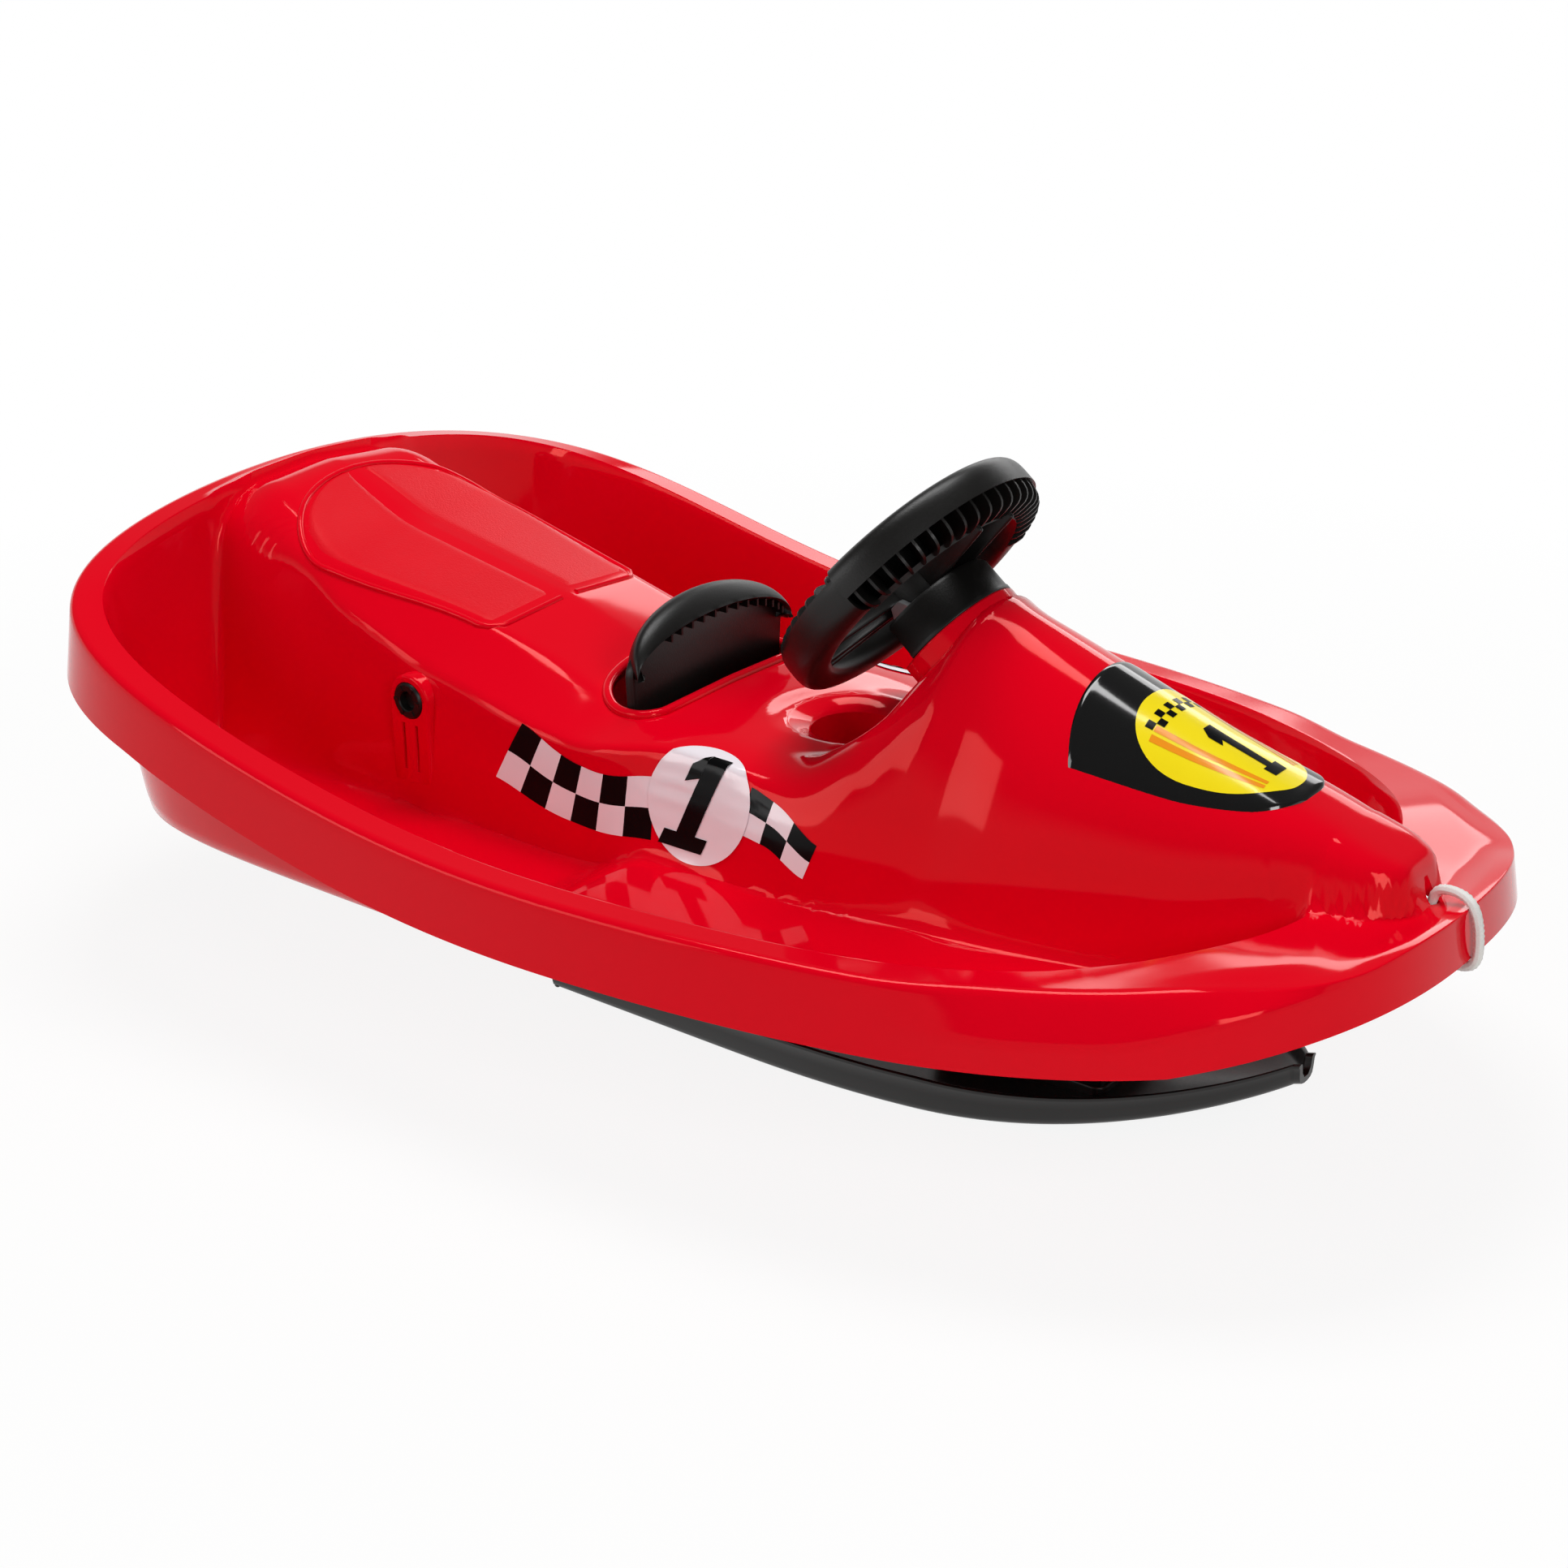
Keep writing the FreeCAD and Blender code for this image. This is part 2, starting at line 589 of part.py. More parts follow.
keep(build_crank(), "crank_arm")
ball = doc.addObject("Part::Sphere", "crank_ball")
ball.setExpression("Radius", "sizes.ball_radius")
ball.Placement = FreeCAD.Placement(ball_centre, FreeCAD.Rotation())
finish(ball)


# Bridge under the cowl, which carries the king pin and the lower bush

def build_bridge():
    low = g["bridge_height"]
    long = g["bridge_half_length"]
    plate = block(V(king_pin.x - long, -g["bridge_half_width"], low),
                  V(king_pin.x + long, g["bridge_half_width"], bridge_top))
    seat = column_foot - to_rider * (g["lower_bush_place"] - 3)
    housing = bush_radius + g["fit_clearance"] + 6
    ring = rod(housing, g["bush_length"] + 4, seat, to_rider * -1)
    middle = seat - to_rider * (g["bush_length"] / 2 + 2)
    behind = king_pin.x + 2 * g["king_pin_radius"]
    upright = block(V(behind, -housing + 4, bridge_top - 1), V(behind + 10, housing - 4, middle.z))
    cuts = [rod(bush_radius + g["fit_clearance"] / 2, 4 * g["bush_length"],
                seat + to_rider * g["bush_length"], to_rider * -1),
            rod(g["king_pin_radius"] + g["run_clearance"], 60, V(king_pin.x, 0, low - 20))]
    cuts += [rod(g["screw_radius"] + 0.3, 40, p - V(0, 0, 30)) for p in bridge_posts]
    return plate.fuse([upright, ring]).cut(cuts)


keep(build_bridge(), "steering_bridge")


def screws(places, grip, label):
    # pan head screws driven up from below, one solid each
    made = []
    for p in places:
        head = rod(2 * g["screw_radius"], 3, p - V(0, 0, grip + 3))
        made.append(head.fuse(rod(g["screw_radius"], grip + screw_depth - 1, p - V(0, 0, grip))))
    keep(Part.makeCompound(made), label)


screws(bridge_posts, g["bridge_thickness"], "bridge_screws")

ski_deck = g["ski_pad_height"]
pin_head_low = ski_deck + 2
pin = rod(g["king_pin_radius"] + 5, 8, V(king_pin.x, 0, pin_head_low))
pin = pin.fuse(rod(g["king_pin_radius"], bridge_top + 20 - pin_head_low, V(king_pin.x, 0, pin_head_low)))
keep(pin, "king_pin")
washer_outer = cylinder("washer_outer", "2 * sizes.king_pin_radius", "2", V(king_pin.x, 0, bridge_top))
washer_bore = cylinder("washer_bore", "sizes.king_pin_radius + sizes.run_clearance", "10",
                       V(king_pin.x, 0, bridge_top - 4))
finish(less("king_pin_washer", washer_outer, washer_bore))
pin_nut = hexagon(2 * g["king_pin_radius"] + 8, 12, V(king_pin.x, 0, bridge_top + 2))
keep(pin_nut.cut(rod(g["king_pin_radius"] + g["run_clearance"], 40, V(king_pin.x, 0, bridge_top - 4))),
     "king_pin_nut")


# Front ski: a tray with a perimeter wall, rounded in plan towards a turned-up tip

def ski_half(x):
    run = min(max((x - 30) / (g["ski_tip"] - 30), 0), 1)
    return max(g["ski_half_width"] * (1 - run ** 2.6) ** 0.8, 9)


def ski_bottom(x):
    return g["ski_tip_rise"] * max((x - g["ski_flat_end"]) / (g["ski_tip"] - g["ski_flat_end"]), 0) ** 2


def ski_wall_at(x):
    return ramp(x, [(g["ski_rear"], 0.72 * g["ski_wall_height"]),
                    (g["ski_rear"] + 60, g["ski_wall_height"]),
                    (g["ski_flat_end"], g["ski_wall_height"]), (g["ski_tip"], g["ski_tip_wall"])])


def tray(stations, half, bottom, wall, inset):
    # loft of upright sections; an inset of nothing gives the outside, otherwise the hollow
    wires = []
    for x in stations:
        w = half(x) - inset
        low = bottom(x) + (g["ski_floor"] if inset else 0)
        high = bottom(x) + wall(x) + (20 if inset else 0)
        lean = 0.06 * (high - low)
        wires.append(Part.makePolygon([V(x, -w + 5, low), V(x, w - 5, low), V(x, w, low + 4),
                                       V(x, w + lean, high),
                                       V(x, -w - lean, high), V(x, -w, low + 4), V(x, -w + 5, low)]))
    return Part.makeLoft(wires, True, True)


def build_front_ski():
    rear, tip, wall = g["ski_rear"], g["ski_tip"], g["ski_wall"]
    count = 26
    outside = [rear + (tip - rear) * math.sin(math.pi / 2 * k / count) for k in range(count + 1)]
    inside = [rear + wall + (tip - rear - wall - 16) * math.sin(math.pi / 2 * k / count) for k in range(count + 1)]
    ski = tray(outside, ski_half, ski_bottom, ski_wall_at, 0)
    pad = block(V(king_pin.x - 62, -52, -1), V(king_pin.x + 62, 52, ski_deck))
    hollow = tray(inside, ski_half, ski_bottom, ski_wall_at, wall).cut(pad)
    holes = [rod(g["screw_radius"] + 0.05, 8, p - V(0, 0, g["mount_flange"] + 7)) for p in mount_screws]
    return ski.cut([hollow] + holes)


mount_screws = [V(king_pin.x + sx * 48, sy * 38, ski_deck + g["mount_flange"])
                for sx in (-1, 1) for sy in (-1, 1)]
keep(build_front_ski(), "front_ski")


def build_mount():
    # turntable on the ski with a forward fork that holds the crank ball
    low = ski_deck
    high = g["bridge_height"] - 1
    flange = block(V(king_pin.x - 60, -50, low), V(king_pin.x + 60, 50, low + g["mount_flange"]))
    hub = rod(g["mount_radius"], high - low, V(king_pin.x, 0, low))
    slot = g["ball_radius"] + g["slot_clearance"]
    cheek = 6.0
    outer = slot + cheek
    front = ball_centre.x + 16
    rear = ball_centre.x - 6
    top = ball_centre.z + 5
    under = ball_centre.z - g["crank_reach"] * (1 - math.cos(math.pi / 4)) - 1.5
    arm = block(V(king_pin.x, -outer, high - 34), V(front, outer, high - 8))
    post = block(V(front - 8, -outer, high - 34), V(front, outer, top))
    cheeks = block(V(rear, -outer, under), V(front, outer, top))
    slot_cut = block(V(rear - 1, -slot, under - 1), V(front - 4, slot, top + 1))
    bore = rod(g["king_pin_radius"] + g["run_clearance"], high, V(king_pin.x, 0, 0))
    pocket = rod(g["king_pin_radius"] + 6, pin_head_low + 9 - low + 1, V(king_pin.x, 0, low - 1))
    holes = [rod(g["screw_radius"] + 0.3, 20, p - V(0, 0, 12)) for p in mount_screws]
    heads = [rod(2 * g["screw_radius"] + 0.5, 40, p) for p in mount_screws]
    return flange.fuse([hub, arm, post, cheeks]).cut([slot_cut, bore, pocket] + holes + heads)


keep(build_mount(), "ski_mount")
made = []
for p in mount_screws:
    deep = g["mount_flange"] + 6
    made.append(rod(2 * g["screw_radius"], 3, p).fuse(rod(g["screw_radius"], deep, p - V(0, 0, deep))))
keep(Part.makeCompound(made), "ski_mount_screws")


# Rear ski under the seat on two bent sheet brackets

def rear_half(x):
    middle = (g["rear_ski_rear"] + g["rear_ski_front"]) / 2
    reach = (g["rear_ski_front"] - g["rear_ski_rear"]) / 2
    return g["rear_ski_half_width"] * (1 - 0.35 * abs((x - middle) / reach) ** 5)


def rear_bottom(x):
    run = g["rear_ski_rise_run"]
    front = max((x - g["rear_ski_front"] + run) / run, 0)
    rear = max((g["rear_ski_rear"] + run - x) / run, 0)
    return g["rear_ski_rise"] * (front ** 2 + 0.5 * rear ** 2)


def rear_wall_at(x):
    return g["rear_ski_wall_height"]


def build_rear_ski():
    rear, front, wall = g["rear_ski_rear"], g["rear_ski_front"], g["ski_wall"]
    count = 16
    outside = [rear + (front - rear) * (0.5 - 0.5 * math.cos(math.pi * k / count)) for k in range(count + 1)]
    inside = [rear + wall + (front - rear - 2 * wall) * (0.5 - 0.5 * math.cos(math.pi * k / count))
              for k in range(count + 1)]
    ski = tray(outside, rear_half, rear_bottom, rear_wall_at, 0)
    ski = ski.cut(tray(inside, rear_half, rear_bottom, rear_wall_at, wall))
    return ski.cut([rod(g["screw_radius"] + 0.05, 30, V(p.x, p.y, -10)) for p in rear_ski_screws])


rear_ski_screws = [V(place + g["bracket_flange"] / 2, sy * 55, g["ski_floor"] + g["bracket_sheet"])
                   for place in (g["bracket_rear_place"], g["bracket_front_place"]) for sy in (-1, 1)]
keep(build_rear_ski(), "rear_ski")


def build_bracket(place):
    # C section: lower flange on the ski, upright web, upper flange under the posts
    t, f = g["bracket_sheet"], g["bracket_flange"]
    low, high = g["ski_floor"], g["bracket_top"]
    section = [V(place, 0, low), V(place + f, 0, low), V(place + f, 0, low + t), V(place + t, 0, low + t),
               V(place + t, 0, high - t), V(place + f, 0, high - t), V(place + f, 0, high),
               V(place, 0, high)]
    wide = g["bracket_half_width"]
    sheet_piece = prism([p - across * wide for p in section], across * 2 * wide)
    holes = [rod(g["screw_radius"] + 0.3, 20, p - V(0, 0, 12)) for p in bracket_posts + rear_ski_screws]
    window = block(V(place - 1, -34, low + 18), V(place + t + 1, 34, high - 16))
    return sheet_piece.cut(holes + [window])


keep(build_bracket(g["bracket_rear_place"]), "rear_ski_bracket_rear")
keep(build_bracket(g["bracket_front_place"]), "rear_ski_bracket_front")
screws(bracket_posts, g["bracket_sheet"], "bracket_screws")
made = []
for p in rear_ski_screws:
    deep = g["bracket_sheet"] + 3
    made.append(rod(2 * g["screw_radius"], 3, p).fuse(rod(g["screw_radius"], deep, p - V(0, 0, deep))))
keep(Part.makeCompound(made), "rear_ski_screws")


# Brake: handle, plate and arm on the cross axle, with a claw behind the rear ski

def build_lever():
    back = g["handle_place"] - g["handle_depth"]
    front = g["handle_place"]
    wide, rim, top = g["handle_half_width"], g["handle_rim_height"], g["handle_height"]
    # domed grip: an arc across the sled, thinner towards the rear
    arc = Part.Arc(V(front, -wide, rim), V(front, 0, top), V(front, wide, rim)).toShape()
    low = Part.LineSegment(V(front, wide, rim), V(front, -wide, rim)).toShape()
    face = Part.Face(Part.Wire([arc, low]))
    grip = face.extrude(V(-g["handle_depth"], 0, 0))
    slope = prism([V(front + 1, -wide - 1, top + 8),
                   V(front - g["handle_depth"] * 0.35, -wide - 1, top + 2),
                   V(back - 1, -wide - 1, top - 20), V(back - 1, -wide - 1, top + 8)],
                   across * (2 * wide + 2))
    hollow = block(V(back - 1, -wide + 12, rim - 1),
                   V(front - g["plate_thickness"] - 10, wide - 12, rim + 14))
    grip = grip.cut([slope, hollow])
    t = g["plate_thickness"]
    foot = axle.z - g["arm_drop"] - g["arm_thickness"] / 2
    half = g["plate_half_width"]
    plate = block(V(front - t - 6, -half, foot), V(front - 6, half, rim + 6))
    drop_end = V(front - t - 2, 0, foot + g["arm_thickness"])
    arm = prism([V(axle.x, -g["arm_half_width"], axle.z - g["arm_thickness"] / 2),
                 V(drop_end.x, -g["arm_half_width"], foot),
                 V(drop_end.x, -g["arm_half_width"], drop_end.z),
                 V(axle.x, -g["arm_half_width"], axle.z + g["arm_thickness"] / 2)],
                 across * 2 * g["arm_half_width"])
    hub = rod(g["lever_hub_radius"], 4 * g["arm_half_width"], axle - across * 2 * g["arm_half_width"],
              across)
    knee = V(g["claw_place"] + g["claw_sheet"] + 10, 0, axle.z - 6)
    tail = prism([V(axle.x, -g["arm_half_width"], axle.z + 6), V(knee.x, -g["arm_half_width"], knee.z + 6),
                  V(knee.x, -g["arm_half_width"], knee.z - g["arm_thickness"]),
                  V(axle.x, -g["arm_half_width"], axle.z - 8)], across * 2 * g["arm_half_width"])
    leg = block(V(knee.x - 10, -g["arm_half_width"], g["claw_height"] + g["claw_depth"] - 12),
                V(knee.x, g["arm_half_width"], knee.z + 6))
    bore = rod(g["axle_radius"] + g["run_clearance"], 300, axle - across * 150, across)
    holes = [rod(g["screw_radius"] + 0.05, 14, p, V(1, 0, 0)) for p in claw_screws]
    return grip.fuse([plate, arm, hub, tail, leg]).cut([bore] + holes)


claw_face = g["claw_place"] + g["claw_sheet"]
claw_screws = [V(g["claw_place"] - 1, sy * 12, g["claw_height"] + g["claw_depth"] + 6) for sy in (-1, 1)]
keep(build_lever(), "brake_lever")


def build_claw():
    # bent steel plate with three teeth
    x, low, wide = g["claw_place"], g["claw_height"], g["claw_half_width"]
    top = low + g["claw_depth"] + 22
    points = [V(x, -wide, top), V(x, -wide, low + 14)]
    teeth = 3
    for k in range(teeth):
        left = -wide + 2 * wide * k / teeth
        points += [V(x, left + wide / teeth, low)]
        if k < teeth - 1:
            points += [V(x, left + 2 * wide / teeth, low + 14)]
    points += [V(x, wide, low + 14), V(x, wide, top)]
    plate = prism(points, V(g["claw_sheet"], 0, 0))
    return plate.cut([rod(g["screw_radius"] + 0.3, 12, p - V(2, 0, 0), V(1, 0, 0)) for p in claw_screws])


keep(build_claw(), "brake_claw")
made = []
for p in claw_screws:
    start = V(g["claw_place"], p.y, p.z)
    shank = rod(g["screw_radius"], g["claw_sheet"] + 8, start, V(1, 0, 0))
    made.append(rod(2 * g["screw_radius"], 3, start, V(-1, 0, 0)).fuse(shank))
keep(Part.makeCompound(made), "claw_screws")

finish(cylinder("brake_axle", "sizes.axle_radius", "2 * sizes.axle_half_length - 2 * sizes.plug_length + 4",
                V(axle.x, -g["axle_half_length"] + g["plug_length"] - 2, axle.z), across))
plugs = []
for side in (-1, 1):
    start = V(axle.x, side * (g["axle_half_length"] - g["plug_length"] + 2.3), axle.z)
    plug = rod(g["plug_radius"], g["plug_length"], start, across * side)
    plugs.append(plug.cut(hexagon(15, 9, start + across * side * (g["plug_length"] - 8), across * side)))
keep(Part.makeCompound(plugs), "axle_plugs")


# Nose badge: a thin plate that follows the cowl

def build_badge():
    rows_low, rows_high = [], []
    count_x, count_y = 12, 10
    for i in range(count_x + 1):
        run = i / count_x
        x = g["badge_rear"] + (g["badge_front"] - g["badge_rear"]) * run
        wide = g["badge_half_width"] * max(1 - run ** 2.4, 0.06) ** 0.7
        low, high = [], []
        for k in range(count_y + 1):
            y = wide * (2 * k / count_y - 1)
            z = skin_height(x, y)
            slope_x = (skin_height(x + 3, y) - skin_height(x - 3, y)) / 6
            slope_y = (skin_height(x, y + 3) - skin_height(x, y - 3)) / 6
            up = V(-slope_x, -slope_y, 1).normalize()
            low.append(V(x, y, z) + up * (g["fit_clearance"] + 0.5))
            high.append(V(x, y, z) + up * (g["fit_clearance"] + 0.5 + g["badge_thickness"]))
        rows_low.append(low)
        rows_high.append(high)
    faces = []
    rings = []
    for rows in (rows_low, rows_high):
        surface = smooth_face(rows)
        u0, u1, v0, v1 = surface.bounds()
        faces.append(surface.toShape())
        rings.append([surface.uIso(u0).toShape(), surface.uIso(u1).toShape(), surface.vIso(v0).toShape(),
                      surface.vIso(v1).toShape()])
    faces += [Part.makeRuledSurface(a, b) for a, b in zip(*rings)]
    shell = Part.Shell(faces)
    shell.sewShape()
    plate = Part.Solid(Part.Shell(shell.Faces))
    if plate.Volume < 0:
        plate.reverse()
    return plate


keep(build_badge(), "nose_badge")


# Tow rope: through the nose deck, over the edge, under the skirt and into a tied coil behind the nose

rope = g["rope_radius"]
edge = rim_point(1.0)
hole = g["rope_hole_place"]
coil_start = V(g["coil_place_x"] + g["coil_inner"] + g["coil_step"] * g["coil_turns"],
               g["coil_place_y"] - 2 * rope, 0)
ROUTE = [
    V(hole, 0, edge.z - 14), V(hole, 0, edge.z + 9), V(edge.x - 2, -12, edge.z + 14),
    V(edge.x + 13, -18, edge.z + 5),
    V(edge.x + 14, -19, edge.z - 25), V(edge.x + 1, -12, edge.z - 43), V(edge.x - 25, 14, edge.z - 59),
    V(edge.x - 65, 46, edge.z - 71), V(edge.x - 101, 78, edge.z - 85),
]
ROUTE += [coil_start + V(16, -86, 74), coil_start + V(4, -56, 44)]


def route_wire(points):
    # straight runs joined by tangent arcs, each as large as its two runs allow
    edges, radii = [], []
    here = points[0]
    for before, corner, after in zip(points, points[1:], points[2:]):
        run_in, run_out = (before - corner), (after - corner)
        shorter = min(run_in.Length, run_out.Length)
        into, out = V(run_in).normalize(), V(run_out).normalize()
        turn = math.pi - into.getAngle(out)
        radius = 0.45 * shorter / math.tan(turn / 2)
        radii.append(radius)
        start, end = corner + into * (0.45 * shorter), corner + out * (0.45 * shorter)
        inner = (into + out).normalize()
        centre = corner + inner * (radius / math.cos(turn / 2))
        middle = centre - inner * radius
        edges.append(Part.LineSegment(here, start).toShape())
        edges.append(Part.Arc(start, middle, end).toShape())
        here = end
    edges.append(Part.LineSegment(here, points[-1]).toShape())
    return Part.Wire(edges), radii


def tube(wire, start, way):
    ring = Part.Wire(Part.makeCircle(rope, start, way))
    return wire.makePipeShell([ring], True, False)


coil_centre = V(g["coil_place_x"], g["coil_place_y"], 0)
coil_low = rope + g["tie_thickness"] + 0.5
coil_high = coil_low + 2 * rope + 0.7
quarter = math.pi / 2
turns_each = g["coil_turns"]
coil_outer = g["coil_inner"] + g["coil_step"] * turns_each


def coil_point(angle):
    # the top layer winds inwards, half a turn leads down, the bottom layer winds out again
    inward_end = 2 * math.pi * turns_each
    if angle <= inward_end:
        radius = coil_outer - g["coil_step"] * angle / (2 * math.pi)
        height = coil_high
    elif angle <= inward_end + math.pi:
        radius = g["coil_inner"] - 2.5 * math.sin(angle - inward_end)
        height = coil_high + (coil_low - coil_high) * ease((angle - inward_end) / math.pi)
    else:
        radius = g["coil_inner"] + g["coil_step"] * (angle - inward_end - math.pi) / (2 * math.pi)
        height = coil_low
    return coil_centre + V(radius * math.cos(angle), radius * math.sin(angle), height)


def coil_way(angle):
    return (coil_point(angle + 0.004) - coil_point(angle - 0.004)).normalize()


def biarc(p0, t0, p1, t1):
    # two tangent arcs from one point and heading to the next
    chord = p1 - p0
    total = t0 + t1
    a = 2 * (1 - t0.dot(t1))
    b = 2 * chord.dot(total)
    c = -chord.dot(chord)
    reach = -c / b if abs(a) < 1e-9 else (-b + math.sqrt(b * b - 4 * a * c)) / (2 * a)
    q0, q1 = p0 + t0 * reach, p1 - t1 * reach
    joint = (q0 + q1) * 0.5
    arcs = []
    for start, corner, end in ((p0, q0, joint), (joint, q1, p1)):
        into, out = (start - corner).normalize(), (end - corner).normalize()
        turn = math.pi - into.getAngle(out)
        inner = (into + out).normalize()
        radius = reach / math.tan(turn / 2)
        middle = corner + inner * (radius / math.cos(turn / 2) - radius)
        arcs.append(Part.Arc(start, middle, end).toShape())
    return arcs


coil_steps = int(round((2 * turns_each + 0.5) * 4))
coil_edges = []
for k in range(coil_steps):
    a, b = k * quarter, (k + 1) * quarter
    coil_edges += biarc(coil_point(a), coil_way(a), coil_point(b), coil_way(b))
first_way, last_way = coil_way(0), coil_way(coil_steps * quarter)
first, last = coil_point(0), coil_point(coil_steps * quarter)
lead = first - first_way * (2 * rope)
tail_point = last + last_way * (1.6 * g["knot_radius"] + 5.4 * rope)
coil_edges = ([Part.LineSegment(lead, first).toShape()] + coil_edges
              + [Part.LineSegment(last, tail_point).toShape()])
coil_wire = Part.Wire(coil_edges)
coil_solid = tube(coil_wire, lead, first_way)
samples = [coil_point(k * math.pi / 60) for k in range(int(coil_steps * 30) + 1)]
least = min((samples[i] - samples[j]).Length for i in range(0, len(samples), 3)
            for j in range(i + 60, len(samples)))
print("coil length", round(coil_wire.Length), "least gap", round(least - 2 * rope, 2),
      "volume ratio", round(coil_solid.Volume / (math.pi * rope ** 2 * coil_wire.Length), 4))
keep(coil_solid, "rope_coil")

ROUTE += [lead - first_way * 30, lead]
rope_wire, radii = route_wire(ROUTE)
rope_solid = tube(rope_wire, ROUTE[0], ROUTE[1] - ROUTE[0])
print("rope length", round(rope_wire.Length), "radii", [round(r) for r in radii],
      "volume ratio", round(rope_solid.Volume / (math.pi * rope ** 2 * rope_wire.Length), 4))
keep(rope_solid, "tow_rope")

knot_cut = 0.62 * g["knot_radius"]
stop = Part.makeSphere(g["knot_radius"], ROUTE[0] - V(0, 0, knot_cut))
keep(stop.cut(rod(2 * g["knot_radius"], 20, ROUTE[0])), "rope_stop_knot")
end_centre = tail_point + last_way * knot_cut
end_centre.z = g["knot_radius"] + 0.1
end_knot = Part.makeSphere(g["knot_radius"], end_centre)
keep(end_knot.cut(rod(3 * g["knot_radius"], 30, tail_point - V(0, 0, 0), last_way * -1)), "rope_end_knot")

tie_angle = math.radians(-70)
tie_way = V(math.cos(tie_angle), math.sin(tie_angle), 0)
tie_in = g["coil_inner"] - rope - 1.2
tie_out = coil_outer + rope + 1.2
tie_top = coil_high + rope + 0.6
tie_low = coil_low - rope - 0.4
t = g["tie_thickness"]
band = block(V(tie_in - t, -g["tie_breadth"] / 2, tie_low - t),
             V(tie_out + t, g["tie_breadth"] / 2, tie_top + t))
band = band.cut(block(V(tie_in, -g["tie_breadth"], tie_low), V(tie_out, g["tie_breadth"], tie_top)))
band.Placement = FreeCAD.Placement(coil_centre, FreeCAD.Rotation(V(0, 0, 1), math.degrees(tie_angle)))
keep(band, "rope_tie")


# Check every object, then write one file for each piece

doc.recompute()
faults = [item.Label for item in doc.Objects if "Invalid" in item.State or "Error" in item.State]
for piece in pieces:
    shape = piece.Shape
    if shape.isNull() or not shape.isValid() or shape.Volume <= 0:
        faults.append(piece.Label)
if faults:
    raise RuntimeError("pieces that failed: " + ", ".join(faults))
for piece in pieces:
    piece.Shape.exportStep(os.path.join("parts", piece.Label + ".step"))
    print(piece.Label, "solids", len(piece.Shape.Solids), "volume", round(piece.Shape.Volume))
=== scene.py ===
import bpy
import bmesh
import math
from mathutils import Vector, Matrix


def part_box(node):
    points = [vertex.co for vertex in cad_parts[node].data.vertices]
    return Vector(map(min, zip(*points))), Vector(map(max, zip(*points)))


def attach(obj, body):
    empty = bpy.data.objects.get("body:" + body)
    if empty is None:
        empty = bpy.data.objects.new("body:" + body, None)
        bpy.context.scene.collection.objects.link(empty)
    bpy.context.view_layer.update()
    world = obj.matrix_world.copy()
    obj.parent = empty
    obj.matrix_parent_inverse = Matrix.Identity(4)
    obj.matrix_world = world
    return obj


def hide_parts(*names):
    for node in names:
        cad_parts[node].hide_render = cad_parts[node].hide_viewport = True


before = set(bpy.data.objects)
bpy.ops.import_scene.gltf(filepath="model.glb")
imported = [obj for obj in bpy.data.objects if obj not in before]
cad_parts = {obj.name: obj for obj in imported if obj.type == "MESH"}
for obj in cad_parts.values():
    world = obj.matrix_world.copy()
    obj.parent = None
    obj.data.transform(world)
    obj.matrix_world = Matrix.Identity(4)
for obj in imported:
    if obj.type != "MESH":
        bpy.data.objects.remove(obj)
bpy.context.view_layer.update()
mm = 0.001
print("frame loaded", len(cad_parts), "nodes")


# small tools for meshes, all lengths in millimetres until they reach the mesh

def linkObject(name, data):
    obj = bpy.data.objects.new(name, data)
    bpy.context.collection.objects.link(obj)
    return obj


def copyObject(obj):
    return linkObject(obj.name + "Copy", obj.data.copy())


def sharpen(obj, degrees):
    obj.data.polygons.foreach_set("use_smooth", [True] * len(obj.data.polygons))
    obj.data.set_sharp_from_angle(angle=math.radians(degrees))


def newObject(name, verts, faces, material, smoothAngle=35):
    mesh = bpy.data.meshes.new(name)
    mesh.from_pydata([tuple(c * mm for c in v) for v in verts], [], faces)
    mesh.validate()
    mesh.materials.append(material)
    obj = linkObject(name, mesh)
    sharpen(obj, smoothAngle)
    return obj


def grid(rows, closeRows=False, closeColumns=False, flip=False):
    # quads between rows of points of equal count
    count = len(rows[0])
    verts = [p for row in rows for p in row]
    faces = []
    for i in range(len(rows) if closeRows else len(rows) - 1):
        a = i * count
        b = ((i + 1) % len(rows)) * count
        for k in range(count if closeColumns else count - 1):
            n = (k + 1) % count
            quad = (a + k, a + n, b + n, b + k)
            faces.append(quad[::-1] if flip else quad)
    return verts, faces


def capped(rows):
    # rows closed round, with both ends filled
    verts, faces = grid(rows, closeColumns=True)
    count = len(rows[0])
    first, last = tuple(range(count)), tuple(range(len(verts) - count, len(verts)))
    return verts, faces + [first[::-1], last]


def weld(obj, reach=0.02):
    work = bmesh.new()
    work.from_mesh(obj.data)
    bmesh.ops.remove_doubles(work, verts=work.verts, dist=reach * mm)
    bmesh.ops.recalc_face_normals(work, faces=work.faces)
    work.to_mesh(obj.data)
    work.free()


def closedPiece(name, rows, material, smoothAngle=35):
    verts, faces = capped(rows)
    obj = newObject(name, verts, faces, material, smoothAngle)
    weld(obj)
    return obj


def closeHoles(obj):
    work = bmesh.new()
    work.from_mesh(obj.data)
    bmesh.ops.holes_fill(work, edges=[e for e in work.edges if e.is_boundary])
    bmesh.ops.recalc_face_normals(work, faces=work.faces)
    work.to_mesh(obj.data)
    work.free()


def faceTowards(obj, way):
    for face in obj.data.polygons:
        if face.normal.dot(way) < 0:
            face.flip()


def shownMesh(obj):
    # the mesh that an object shows, with its modifiers or its curve's bevel
    graph = bpy.context.evaluated_depsgraph_get()
    return bpy.data.meshes.new_from_object(obj.evaluated_get(graph))


